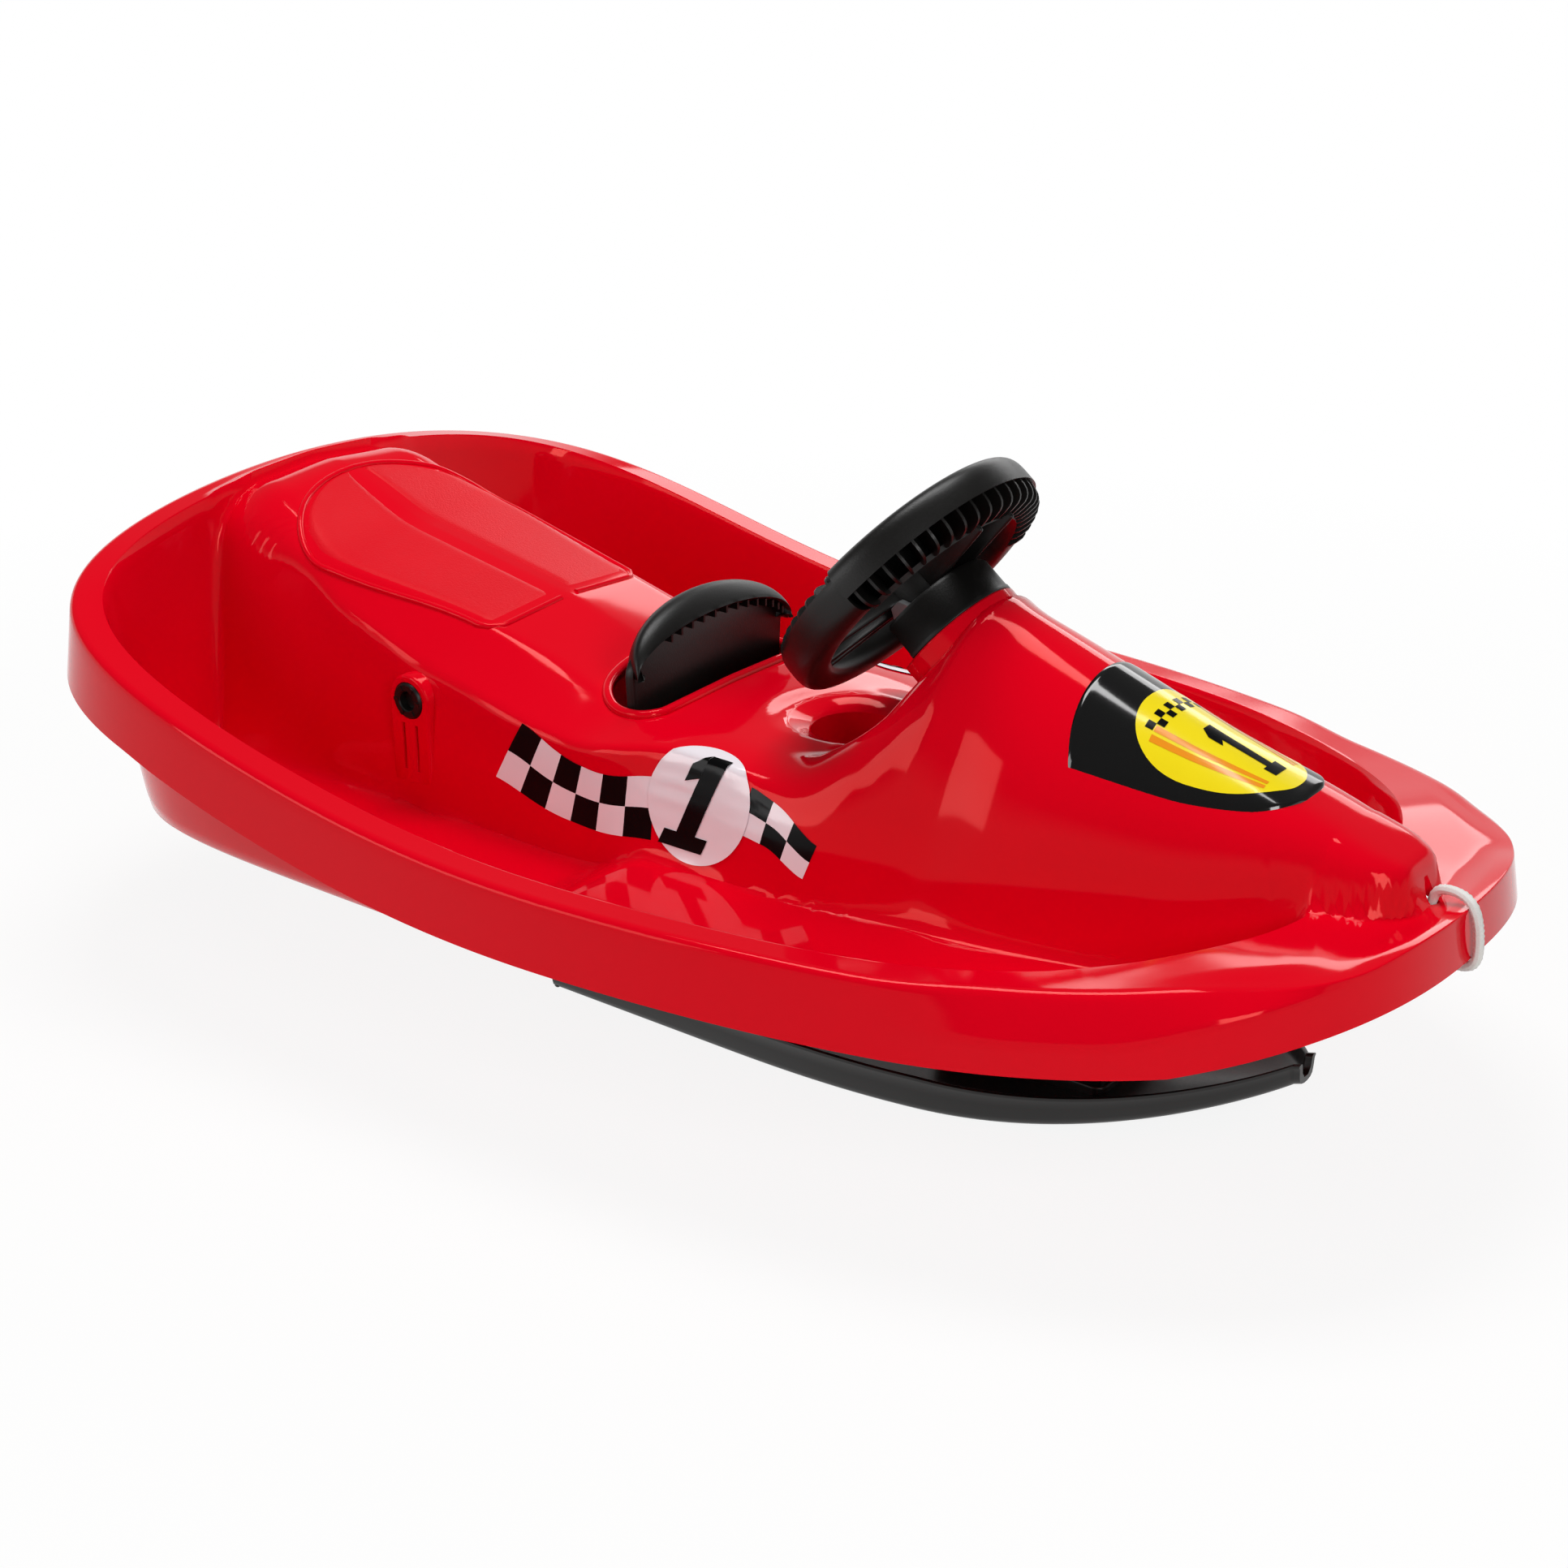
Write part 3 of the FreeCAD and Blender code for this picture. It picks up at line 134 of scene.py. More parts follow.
def settle(obj):
    # turns the modifiers into plain mesh
    mesh = shownMesh(obj)
    obj.modifiers.clear()
    obj.data = mesh


def thicken(obj, wall):
    # gives a surface a wall on its inner side
    solid = obj.modifiers.new("wall", "SOLIDIFY")
    solid.thickness = wall * mm
    solid.offset = -1
    settle(obj)


def carve(obj, tool, mode="DIFFERENCE"):
    cut = obj.modifiers.new("cut", "BOOLEAN")
    cut.operation = mode
    cut.solver = "EXACT"
    cut.object = tool
    settle(obj)
    bpy.data.objects.remove(tool)


def softEdges(obj, width, segments=3, angle=35):
    bevel = obj.modifiers.new("edges", "BEVEL")
    bevel.width = width * mm
    bevel.segments = segments
    bevel.limit_method = "ANGLE"
    bevel.angle_limit = math.radians(angle)
    bevel.harden_normals = True


def solidBox(name, low, high, material):
    (x0, y0, z0), (x1, y1, z1) = low, high
    verts = [(x, y, z) for x in (x0, x1) for y in (y0, y1) for z in (z0, z1)]
    faces = [(0, 1, 3, 2), (4, 6, 7, 5), (0, 4, 5, 1), (2, 3, 7, 6), (0, 2, 6, 4), (1, 5, 7, 3)]
    return newObject(name, verts, faces, material)


def curveObject(name, kind, points):
    curve = bpy.data.curves.new(name, "CURVE")
    curve.dimensions = "3D"
    spline = curve.splines.new(kind)
    spline.points.add(len(points) - 1)
    for spot, p in zip(spline.points, points):
        spot.co = (p[0] * mm, p[1] * mm, p[2] * mm, 1)
    return linkObject(name + "Line", curve)


def tubeAlong(name, points, radius, material, closed=False, sides=10):
    # round bar along a list of points, made as a bevelled curve and turned into a mesh
    holder = curveObject(name, "POLY", points)
    holder.data.bevel_depth = radius * mm
    holder.data.bevel_resolution = sides // 4
    holder.data.use_fill_caps = True
    holder.data.splines[0].use_cyclic_u = closed
    mesh = shownMesh(holder)
    bpy.data.objects.remove(holder)
    mesh.materials.clear()
    mesh.materials.append(material)
    obj = linkObject(name, mesh)
    sharpen(obj, 50)
    return obj


def joinInto(name, parts):
    # several meshes of one material as one piece
    work = bmesh.new()
    for part in parts:
        settle(part)
        part.data.transform(part.matrix_world)
        work.from_mesh(part.data)
    mesh = bpy.data.meshes.new(name)
    work.to_mesh(mesh)
    work.free()
    mesh.materials.append(parts[0].data.materials[0])
    for part in parts:
        bpy.data.objects.remove(part)
    obj = linkObject(name, mesh)
    sharpen(obj, 40)
    return obj


# materials

def toLinear(text):
    values = [int(text[k:k + 2], 16) / 255 for k in (1, 3, 5)]
    return tuple(v / 12.92 if v <= 0.04045 else ((v + 0.055) / 1.055) ** 2.4 for v in values) + (1.0,)


def addNode(tree, kind, settings=None, links=None):
    node = tree.nodes.new(kind)
    for key, value in (settings or {}).items():
        if isinstance(key, str) and hasattr(node, key):
            setattr(node, key, value)
        else:
            node.inputs[key].default_value = value
    for key, socket in (links or {}).items():
        tree.links.new(socket, node.inputs[key])
    return node


def startMaterial(name):
    material = bpy.data.materials.new(name)
    material.use_nodes = True
    tree = material.node_tree
    shader = tree.nodes["Principled BSDF"]
    place = addNode(tree, "ShaderNodeTexCoord").outputs["Object"]
    return material, tree, shader, place


def noiseOf(tree, place, size, detail, roughness=0.5):
    # noise with spots of a size in millimetres
    settings = {"Scale": 1 / (size * mm), "Detail": detail, "Roughness": roughness}
    return addNode(tree, "ShaderNodeTexNoise", settings, {"Vector": place}).outputs["Fac"]


def setTones(tree, shader, share, first, second):
    tone = addNode(tree, "ShaderNodeMix", {"data_type": "RGBA", 6: first, 7: second}, {0: share})
    tree.links.new(tone.outputs[2], shader.inputs["Base Color"])


def setGloss(tree, shader, share, limits):
    gloss = addNode(tree, "ShaderNodeMapRange", {"To Min": limits[0], "To Max": limits[1]},
                    {"Value": share})
    tree.links.new(gloss.outputs["Result"], shader.inputs["Roughness"])


def setBump(tree, shader, height, strength, depth, under=None):
    links = {"Height": height}
    if under:
        links["Normal"] = under.outputs["Normal"]
    bump = addNode(tree, "ShaderNodeBump", {"Strength": strength, "Distance": depth * mm}, links)
    tree.links.new(bump.outputs["Normal"], shader.inputs["Normal"])
    return bump


def mouldedPlastic(name, look):
    # injection moulded polyolefin: even colour, faint mould waviness, fine tool texture in the gloss
    material, tree, shader, place = startMaterial(name)
    shader.inputs["IOR"].default_value = look["ior"]
    shader.inputs["Specular IOR Level"].default_value = look.get("specular", 0.5)
    shader.inputs["Specular Tint"].default_value = toLinear(look.get("sheen", "#FFFFFF"))
    drift = noiseOf(tree, place, look["driftSize"], 3.0)
    setTones(tree, shader, drift, toLinear(look["colour"]), toLinear(look["shade"]))
    grain = noiseOf(tree, place, look["grainSize"], 4.0, 0.6)
    setGloss(tree, shader, grain, look["roughness"])
    bump = setBump(tree, shader, grain, look["bump"], look["grainDepth"])
    if "waveSize" in look:
        setBump(tree, shader, noiseOf(tree, place, look["waveSize"], 1.0), 1.0, look["waveDepth"], bump)
    return material


# glossy red polyethylene of the hull, mirror-like mould finish with slow waves
redPolyethylene = mouldedPlastic("redPolyethylene", dict(
    colour="#E2001C", shade="#DA0019", ior=1.51, specular=0.29, sheen="#FF8C80", roughness=(0.05, 0.09),
    driftSize=180, grainSize=2.2, grainDepth=0.05, bump=0.05, waveSize=70, waveDepth=0.3))
# the same red with the leather-like mould grain of the seat panels, a little coarser than real
redGrained = mouldedPlastic("redGrainedPolyethylene", dict(
    colour="#DE001B", shade="#D20018", ior=1.51, specular=0.3, sheen="#FF8C80", roughness=(0.36, 0.48),
    driftSize=120, grainSize=1.5, grainDepth=0.45, bump=0.55))
# spark-eroded black polypropylene: satin with fine grain
blackPolypropylene = mouldedPlastic("blackPolypropylene", dict(
    colour="#0E0D0C", shade="#131211", ior=1.49, specular=0.27, roughness=(0.3, 0.44), driftSize=60,
    grainSize=1.3, grainDepth=0.25, bump=0.35))
# smoother black polyethylene of the skis
blackSkiPlastic = mouldedPlastic("blackSkiPolyethylene", dict(
    colour="#0F0E0D", shade="#151412", ior=1.5, specular=0.4, roughness=(0.28, 0.4), driftSize=90,
    grainSize=2.4, grainDepth=0.12, bump=0.25, waveSize=45, waveDepth=0.2))
# polished black ABS of the nose plate
blackAbs = mouldedPlastic("blackAbs", dict(
    colour="#0B0B0B", shade="#101010", ior=1.54, roughness=(0.07, 0.12), driftSize=60, grainSize=3.0,
    grainDepth=0.02, bump=0.05, waveSize=40, waveDepth=0.1))
# natural nylon of the column bushes
nylon = mouldedPlastic("naturalNylon", dict(
    colour="#DAD6C8", shade="#CFCBBD", ior=1.53, roughness=(0.38, 0.5), driftSize=25, grainSize=1.2,
    grainDepth=0.1, bump=0.2))


def zincSteel():
    # cold formed steel with bright zinc: fine brushed streaks
    look = dict(colour="#B9BBBE", streak=0.9, squeeze=0.12, roughness=(0.22, 0.42), bump=0.15, depth=0.05)
    material, tree, shader, place = startMaterial("zincPlatedSteel")
    shader.inputs["Metallic"].default_value = 1.0
    shader.inputs["Base Color"].default_value = toLinear(look["colour"])
    stretch = addNode(tree, "ShaderNodeMapping", {"Scale": (1.0, look["squeeze"], 1.0)}, {"Vector": place})
    streaks = noiseOf(tree, stretch.outputs["Vector"], look["streak"], 5.0)
    setGloss(tree, shader, streaks, look["roughness"])
    setBump(tree, shader, streaks, look["bump"], look["depth"])
    return material


zinc = zincSteel()
# powder coated black steel: orange peel of about a millimetre and a half
blackPowderCoat = mouldedPlastic("blackPowderCoat", dict(
    colour="#171717", shade="#1D1D1C", ior=1.5, roughness=(0.3, 0.42), driftSize=50, grainSize=1.5,
    grainDepth=0.18, bump=0.35))


def vinyl(name, colour, specular=0.5):
    # printed self-adhesive vinyl: thin clear film over flat ink, with faint ripples from laying it on
    look = dict(ior=1.5, roughness=0.16, inkSize=30, fade=0.93, rippleSize=14, ripple=0.4, depth=0.2)
    material, tree, shader, place = startMaterial(name)
    shader.inputs["IOR"].default_value = look["ior"]
    shader.inputs["Roughness"].default_value = look["roughness"]
    shader.inputs["Specular IOR Level"].default_value = specular
    base = toLinear(colour)
    faded = tuple(look["fade"] * c for c in base[:3]) + (1.0,)
    setTones(tree, shader, noiseOf(tree, place, look["inkSize"], 2.0), base, faded)
    setBump(tree, shader, noiseOf(tree, place, look["rippleSize"], 2.0), look["ripple"], look["depth"])
    return material


whiteVinyl = vinyl("whiteVinyl", "#EEE6EC")
blackVinyl = vinyl("blackVinyl", "#0A0A0B", 0.1)
yellowVinyl = vinyl("yellowVinyl", "#F6DE12")
orangeVinyl = vinyl("orangeVinyl", "#F0930F")


def ropeBraid():
    # braided polyester cord: dull white yarn with tiny fibres
    look = dict(colour="#F0EFEC", shade="#D2CFCA", roughness=0.85, sheen=0.25, yarn=0.8, bump=0.5,
                depth=0.25)
    material, tree, shader, place = startMaterial("polyesterBraid")
    shader.inputs["Roughness"].default_value = look["roughness"]
    shader.inputs["Sheen Weight"].default_value = look["sheen"]
    yarn = noiseOf(tree, place, look["yarn"], 6.0)
    setTones(tree, shader, yarn, toLinear(look["colour"]), toLinear(look["shade"]))
    setBump(tree, shader, yarn, look["bump"], look["depth"])
    return material


polyesterBraid = ropeBraid()
print("materials made")


# hull surface: the solid's formulas, with finer forms from the photograph

hull = dict(
    length=960, width=598, widest=-163, tailSquare=4.2, noseSquare=2.5, rimHeight=163, tailRise=119,
    tailRun=750, noseRise=18, noseRiseStart=240, skirt=42, flare=7, skin=4, lip=22, deckGrowth=54,
    deckStart=180, draft=14, rearFloor=99, frontFloor=118, stepRear=-80, stepFront=-20, blend=26,
    spineRear=-310, spineFront=330)
column = dict(place=127, height=263, rake=39, radius=15, collar=43)
rake = math.radians(column["rake"])
columnFoot = Vector((column["place"], 0, column["height"]))
toRider = Vector((-math.cos(rake), 0, math.sin(rake)))
toTop = Vector((math.sin(rake), 0, math.cos(rake)))
cowlTop = columnFoot + toTop * column["collar"]
noseTop = Vector((441, 0, 197))
ridgeMid = (cowlTop.x + noseTop.x) / 2
halfWidth = hull["width"] / 2 - hull["flare"]
tailEnd = -hull["length"] / 2 + hull["flare"]
noseEnd = hull["length"] / 2 - hull["flare"]
humpFoot = hull["rearFloor"] - 12
spineLine = [
    (tailEnd - 20, hull["rimHeight"] + hull["tailRise"] - 22),
    (tailEnd + 22, hull["rimHeight"] + hull["tailRise"] - 2),
    (-420, 287), (-345, 254), (-200, 226), (-90, 195), (86, 189), (cowlTop.x, cowlTop.z),
    (ridgeMid, (cowlTop.z + noseTop.z) / 2 - 3), (noseTop.x, noseTop.z),
    (noseTop.x + 10, hull["rimHeight"] - 10)]
breadthLine = [(tailEnd - 8, 121), (-435, 125), (-385, 127), (80, 127), (197, 112), (330, 73), (401, 47),
               (430, 41), (450, 13)]
crownLine = [(40, 7), (cowlTop.x, 2.0), (ridgeMid - 50, 2.0), (noseTop.x - 110, 2.4),
             (noseTop.x - 40, 4.5), (noseTop.x - 8, 7)]
fallLine = [(40, 2.6), (cowlTop.x, 0.95), (cowlTop.x + 46, 1.5), (ridgeMid - 50, 2.0),
            (noseTop.x - 110, 2.2), (noseTop.x - 40, 3.0), (noseTop.x - 8, 4.5)]
bench = dict(  # the seat's section, as shares of the half width and drops from the middle
    flat=[(-420, 0.6), (-344, 0.716), (-277, 0.638), (-200, 0.567), (-145, 0.55), (0, 0.72)],
    dip=[(-344, 6), (-200, 5), (-90, 2), (0, 1.5)],
    shoulder=[(-432, 0.9), (-400, 0.87), (-344, 0.85), (-312, 0.866), (-230, 0.906), (-145, 0.945),
              (0, 0.965), (84, 0.985)],
    drop=[(-432, 46), (-390, 38), (-344, 28), (-312, 29), (-230, 38), (-145, 30), (-60, 14), (0, 11)],
    soft=3.5)
land = dict(place=49, level=190.5, inner=46, outer=64)  # level ground round the cup hole


def ramp(x, points):
    # straight runs between (place, value) points
    if x <= points[0][0]:
        return points[0][1]
    for (a, low), (b, high) in zip(points, points[1:]):
        if x <= b:
            return low + (high - low) * (x - a) / (b - a)
    return points[-1][1]


def rounded(x, points, reach=14, steps=4):
    # the same, averaged over a reach so that its corners are round
    return sum(ramp(x + reach * k / steps, points) for k in range(-steps, steps + 1)) / (2 * steps + 1)


def ease(t):
    t = min(max(t, 0), 1)
    return t * t * (3 - 2 * t)


def noseSharp(x):
    return ease((x - 395) / 35)  # the cowl's nose ends in crisp edges


def spineHeight(x, soft=0):
    crisp = ease((x - 120) / 20) * ease((190 - x) / 20)  # the cowl's top edge by the column
    return rounded(x, spineLine, 14 - 10 * max(noseSharp(x), crisp) + soft, 8 if soft else 4)


def cowlSection(x, y):
    # hollowed behind the column
    hollow = max(1 - (y / 38) ** 2, 0) * (1 - ease((x - 100) / 35))
    share = min(abs(y) / rounded(x, breadthLine), 1)
    crown, fall = rounded(x, crownLine, 25), rounded(x, fallLine, 25)
    soft = 30 * ease((abs(y) - 42) / 35) * ease((150 - x) / 40)  # the cowl's foot flows out beside the cup
    return humpFoot + (spineHeight(x - 22 * hollow, soft) - humpFoot) * (1 - share ** crown) ** (1 / fall)


def benchSection(x, y):
    # nearly flat seat, a slope to the shoulder and a steep wall
    half, top = rounded(x, breadthLine), spineHeight(x)
    section = [
        (0, top), (half * rounded(x, bench["flat"]), top - rounded(x, bench["dip"])),
        (half * rounded(x, bench["shoulder"]), top - rounded(x, bench["drop"])), (half, humpFoot),
        (half + 30, -60)]
    soft = bench["soft"] + 14 * ease((-310 - x) / 80) + 15 * ease((x + 80) / 70)
    return rounded(abs(y), section, soft, 5)


def humpHeight(x, y):
    share = ease((x - 15) / 80)
    if share <= 0:
        height = benchSection(x, y)
    elif share >= 1:
        height = cowlSection(x, y)
    else:
        height = benchSection(x, y) * (1 - share) + cowlSection(x, y) * share
    away = math.hypot(x - land["place"], y)
    if away < land["outer"]:
        share = ease((away - land["inner"]) / (land["outer"] - land["inner"]))
        height = land["level"] * (1 - share) + height * share
    return height


def floorHeight(x):
    run = (x - hull["stepRear"]) / (hull["stepFront"] - hull["stepRear"])
    return hull["rearFloor"] + (hull["frontFloor"] - hull["rearFloor"]) * ease(run)


def blended(a, b, k):
    # the higher of two heights with a fillet of size k between them
    share = min(max(0.5 + 0.5 * (a - b) / k, 0), 1)
    return b + (a - b) * share + k * share * (1 - share)


def between(ends, share):
    return ends[0] + (ends[1] - ends[0]) * share


def squarish(value, power):
    # a sine or cosine bent towards the corners of a square
    return math.copysign(abs(value) ** power, value)


def softness(x, y):
    # radius of the fillets: tight at the cowl's nose, wide beside the seat's rear
    return hull["blend"] * (1 - 0.5 * noseSharp(x)) + 30 * ease((-300 - x) / 120) * ease((abs(y) - 70) / 40)


def deckHeight(x, y):
    return blended(floorHeight(x), humpHeight(x, y), softness(x, y))


def outlinePoint(angle):
    c, s = math.cos(angle), abs(math.sin(angle))
    power = hull["tailSquare"] if c >= 0 else hull["noseSquare"]
    end = tailEnd if c >= 0 else noseEnd
    return (hull["widest"] + (end - hull["widest"]) * abs(c) ** (2 / power), halfWidth * s ** (2 / power))


fine = 4000
track = [outlinePoint(math.pi * k / fine) for k in range(fine + 1)]
walked = [0.0]
for before, after in zip(track, track[1:]):
    walked.append(walked[-1] + math.dist(before, after))


def rimPoint(share):
    goal = share * walked[-1]
    low, high = 0, fine
    while high - low > 1:
        middle = (low + high) // 2
        low, high = (middle, high) if walked[middle] <= goal else (low, middle)
    part = (goal - walked[low]) / (walked[high] - walked[low])
    x = track[low][0] + (track[high][0] - track[low][0]) * part
    w = track[low][1] + (track[high][1] - track[low][1]) * part
    z = hull["rimHeight"] + hull["tailRise"] * math.cos(math.pi / 2 * min(1, goal / hull["tailRun"])) ** 2.5
    z += hull["noseRise"] * max((x - hull["noseRiseStart"]) / (noseEnd - hull["noseRiseStart"]), 0) ** 2
    return Vector((x, -w, z))


def inwardAt(share):
    if share < 0.003:
        return Vector((1, 0, 0))
    if share > 0.997:
        return Vector((-1, 0, 0))
    way = rimPoint(share + 0.003) - rimPoint(share - 0.003)
    return Vector((-way.y, way.x, 0)).normalized()


def deckWidth(x):
    run = min(max((x - hull["deckStart"]) / (noseEnd - hull["deckStart"]), 0), 1)
    return hull["lip"] + hull["deckGrowth"] * run ** 1.9


def evenly(points, count, rise=1.0):
    # the same line with points evenly along its length, with heights counted at a share
    lengths = [0.0]
    for a, b in zip(points, points[1:]):
        lengths.append(lengths[-1] + math.hypot(b.x - a.x, b.y - a.y, rise * (b.z - a.z)))
    out, k = [], 0
    for n in range(count):
        goal = lengths[-1] * n / (count - 1)
        while k < len(lengths) - 2 and lengths[k + 1] < goal:
            k += 1
        part = (goal - lengths[k]) / max(lengths[k + 1] - lengths[k], 1e-9)
        out.append(points[k].lerp(points[k + 1], min(part, 1)))
    return out


def roundedLine(points, corners, radius, arcPoints=5):
    # a polyline whose named corners become arcs
    out = []
    for n, p in enumerate(points):
        if n not in corners or n in (0, len(points) - 1):
            out.append(p)
            continue
        before, after = points[n - 1] - p, points[n + 1] - p
        cut = min(radius, 0.45 * before.length, 0.45 * after.length)
        a, b = p + before.normalized() * cut, p + after.normalized() * cut
        for k in range(arcPoints):
            t = k / (arcPoints - 1)
            out.append(a * (1 - t) ** 2 + p * (2 * t * (1 - t)) + b * t ** 2)
    return out


def ribLine(share):
    # skirt foot, waist of the front bevel, rim, deck, wall, floor and hump, ending on the middle line
    edge, into = rimPoint(share), inwardAt(share)
    deck = deckWidth(edge.x)
    draft = hull["draft"] + 6 * ease((-330 - edge.x) / 100)  # the wall leans more at the tail
    skirtLine = [(tailEnd, 1.25), (tailEnd + 150, 1), (noseEnd - 90, 1.05), (noseEnd, 0.7)]
    tall = hull["skirt"] * ramp(edge.x, skirtLine)
    flare = hull["flare"] * ramp(edge.x, [(noseEnd - 60, 1), (noseEnd, 0.6)])
    low = edge - into * flare - Vector((0, 0, tall))
    foot = edge + into * (deck + draft)
    valley = edge.z - 8 * ease((share - 0.84) / 0.12)  # the nose deck falls towards the cowl
    dip = ease((edge.x - 380) / 60) * ease((share - 0.5) / 0.2) * ease((noseEnd - edge.x) / 20)
    edge.z -= 5 * dip  # low corners beside the nose's tip
    grown = ease((edge.x - 235) / 70) * ease((452 - edge.x) / 45) if share > 0.5 else 0  # the front bevel
    waist = edge.lerp(low, 0.16 + 0.4 * ease((445 - edge.x) / 95)) - into * (3.5 * grown)
    edge = edge + into * (8 * grown)
    deck -= 8 * grown
    goal = Vector((between((hull["spineRear"], hull["spineFront"]), share), 0, 0))

    def lifted(spot, run):
        top = edge.z + (valley - edge.z) * ease(run / (0.42 * deck))
        ground = floorHeight(spot.x)
        wall = top - (run - deck) * (top - ground) / draft
        base = blended(-blended(-top, -wall, 5), ground, 12)
        fillet = 1 + softness(spot.x, spot.y) * ease(run / 25)
        return Vector((spot.x, spot.y, blended(base, humpHeight(spot.x, spot.y), fillet)))

    start, reach = 5, 11  # the rim's round, and the deck point that it turns to
    after = lifted(edge + into * reach, reach)
    corners = [low, low.lerp(waist, 0.5), waist, waist.lerp(edge, 0.5), edge, after]
    outside = roundedLine(corners, {2, 4}, start)
    onDeck, onWall, onHump, kept = 22, 12, 180, 78  # points on each stretch
    across = [start + (deck - start) * k / onDeck for k in range(1, onDeck + 1)]
    across += [deck + draft * k / onWall for k in range(1, onWall + 1)]
    inside = [lifted(edge + into * d, d) for d in across]
    slope = inside[-1:]
    length = (goal - foot).length
    for k in range(1, onHump + 1):
        slope.append(lifted(foot.lerp(goal, k / onHump), deck + draft + length * k / onHump))
    rise = 1 - 0.65 * ease((share - 0.72) / 0.1)  # keeps the nose's rows upright
    return outside[:-1] + inside + evenly(slope, kept, rise)[1:]


def hullRows(count=192):
    rows = []
    for n in range(count + 1):
        turn = math.pi * n / count
        row = ribLine(0.5 - 0.5 * math.cos(turn) * (1 - 0.25 * math.sin(turn)))
        if n in (0, count):
            row = [Vector((p.x, 0, p.z)) for p in row]
        row[-1].y = 0
        rows.append(row)
    return rows


def relaxed(rows, start=34, rounds=10):
    # evens out the mesh in the front channels and at the cowl's nose
    def loose(p):
        return 0.5 * max(ease((p.x - 372) / 36), ease((p.x - 140) / 60) * ease((abs(p.y) - 70) / 15))

    last = len(rows) - 1
    for n in range(rounds):
        fresh = [list(row) for row in rows]
        for i in range(1, last + 1):
            for k in range(start, len(rows[i]) - 1):
                p = rows[i][k]
                weight = loose(p)
                if weight <= 0:
                    continue
                before = rows[i - 1][k]
                after = rows[i + 1][k] if i < last else Vector((before.x, -before.y, before.z))
                fresh[i][k] = p.lerp((before + after + rows[i][k - 1] + rows[i][k + 1]) / 4, weight)
        rows = fresh
    return rows


def buildHull():
    rows = relaxed(hullRows())
    verts, faces = grid(rows)
    half = len(verts)
    verts = verts + [Vector((v.x, -v.y, v.z)) for v in verts]
    faces = faces + [tuple(half + k for k in face[::-1]) for face in faces]
    obj = newObject("hullMoulding", verts, faces, redPolyethylene, 60)
    weld(obj)
    up = sum(p.normal.z * p.area for p in obj.data.polygons)
    if up < 0:
        obj.data.flip_normals()
    return obj


hullObject = buildHull()
print("hull surface", len(hullObject.data.polygons), "faces")


def filledHull():
    # the space under the hull's skin, as a closed body for trimming liners
    lowest = 40
    obj = copyObject(hullObject)
    work = bmesh.new()
    work.from_mesh(obj.data)
    grown = bmesh.ops.extrude_edge_only(work, edges=[e for e in work.edges if e.is_boundary])
    for v in grown["geom"]:
        if isinstance(v, bmesh.types.BMVert):
            v.co.z = lowest * mm
    work.to_mesh(obj.data)
    work.free()
    closeHoles(obj)
    return obj


def rod(radius, low, high):
    # profile of a plain round tool
    return [(0, high), (radius, high), (radius, low), (0, low)]


def lathe(name, profile, material, place=Vector((0, 0, 0)), axis=None, side=None, steps=64,
          angles=(0, 360)):
    # profile of (radius, height) turned about an axis
    axis = axis or Vector((0, 0, 1))
    side = side or Vector((1, 0, 0))
    third = axis.cross(side)
    full = angles[1] - angles[0] >= 360
    rows = []
    for k in range(steps if full else steps + 1):
        a = math.radians(between(angles, k / steps))
        spoke = side * math.cos(a) + third * math.sin(a)
        rows.append([place + spoke * r + axis * h for r, h in profile])
    verts, faces = grid(rows, closeRows=full)
    obj = newObject(name, verts, faces, material)
    weld(obj)
    sharpen(obj, 35)
    return obj


# openings in the hull, with moulded pockets behind them

recess = dict(front=-57, rear=-117, half=82, corner=14, power=0.8, depth=52, wall=3)
cup = dict(place=land["place"], radius=30, depth=46, chamfer=5, mouth=45)
scoop = dict(radius=37, low=-20, high=90)
ropeHole = dict(place=447, height=175, radius=4.7, reach=40)
neckRing = dict(radius=40.2, turn=112)  # round the column's collar, open to the rider


def upright(name, ring, low, high, material):
    # upright prism over a ring of (x, y)
    return closedPiece(name, [[Vector((x, y, z)) for x, y in ring] for z in (low, high)], material)


def cornerArc(x, y, radius, start, steps=8):
    # quarter circle about a corner's centre
    turns = [math.radians(start + 90 * k / steps) for k in range(steps + 1)]
    return [(x + radius * math.cos(a), y + radius * math.sin(a)) for a in turns]


def roundedBox(name, low, high, corner, material):
    # upright box with round vertical corners
    x0, y0, x1, y1 = low[0] + corner, low[1] + corner, high[0] - corner, high[1] - corner
    ring = cornerArc(x1, y1, corner, 0) + cornerArc(x0, y1, corner, 90)
    ring += cornerArc(x0, y0, corner, 180) + cornerArc(x1, y0, corner, 270)
    return upright(name, ring, low[2], high[2], material)


def recessRing(grow=0):
    # straight front with small corners, half ellipse to the rear
    corner = recess["corner"] + grow
    middle = recess["front"] - recess["corner"]
    half = recess["half"] + grow
    reach = middle - recess["rear"] + grow
    ring = cornerArc(middle, half - corner, corner, 0)
    for k in range(1, 48):
        a = math.pi * k / 48
        c, d = squarish(math.cos(a), recess["power"]), squarish(math.sin(a), recess["power"])
        ring.append((middle - reach * d, half * c))
    return ring + cornerArc(middle, corner - half, corner, -90)


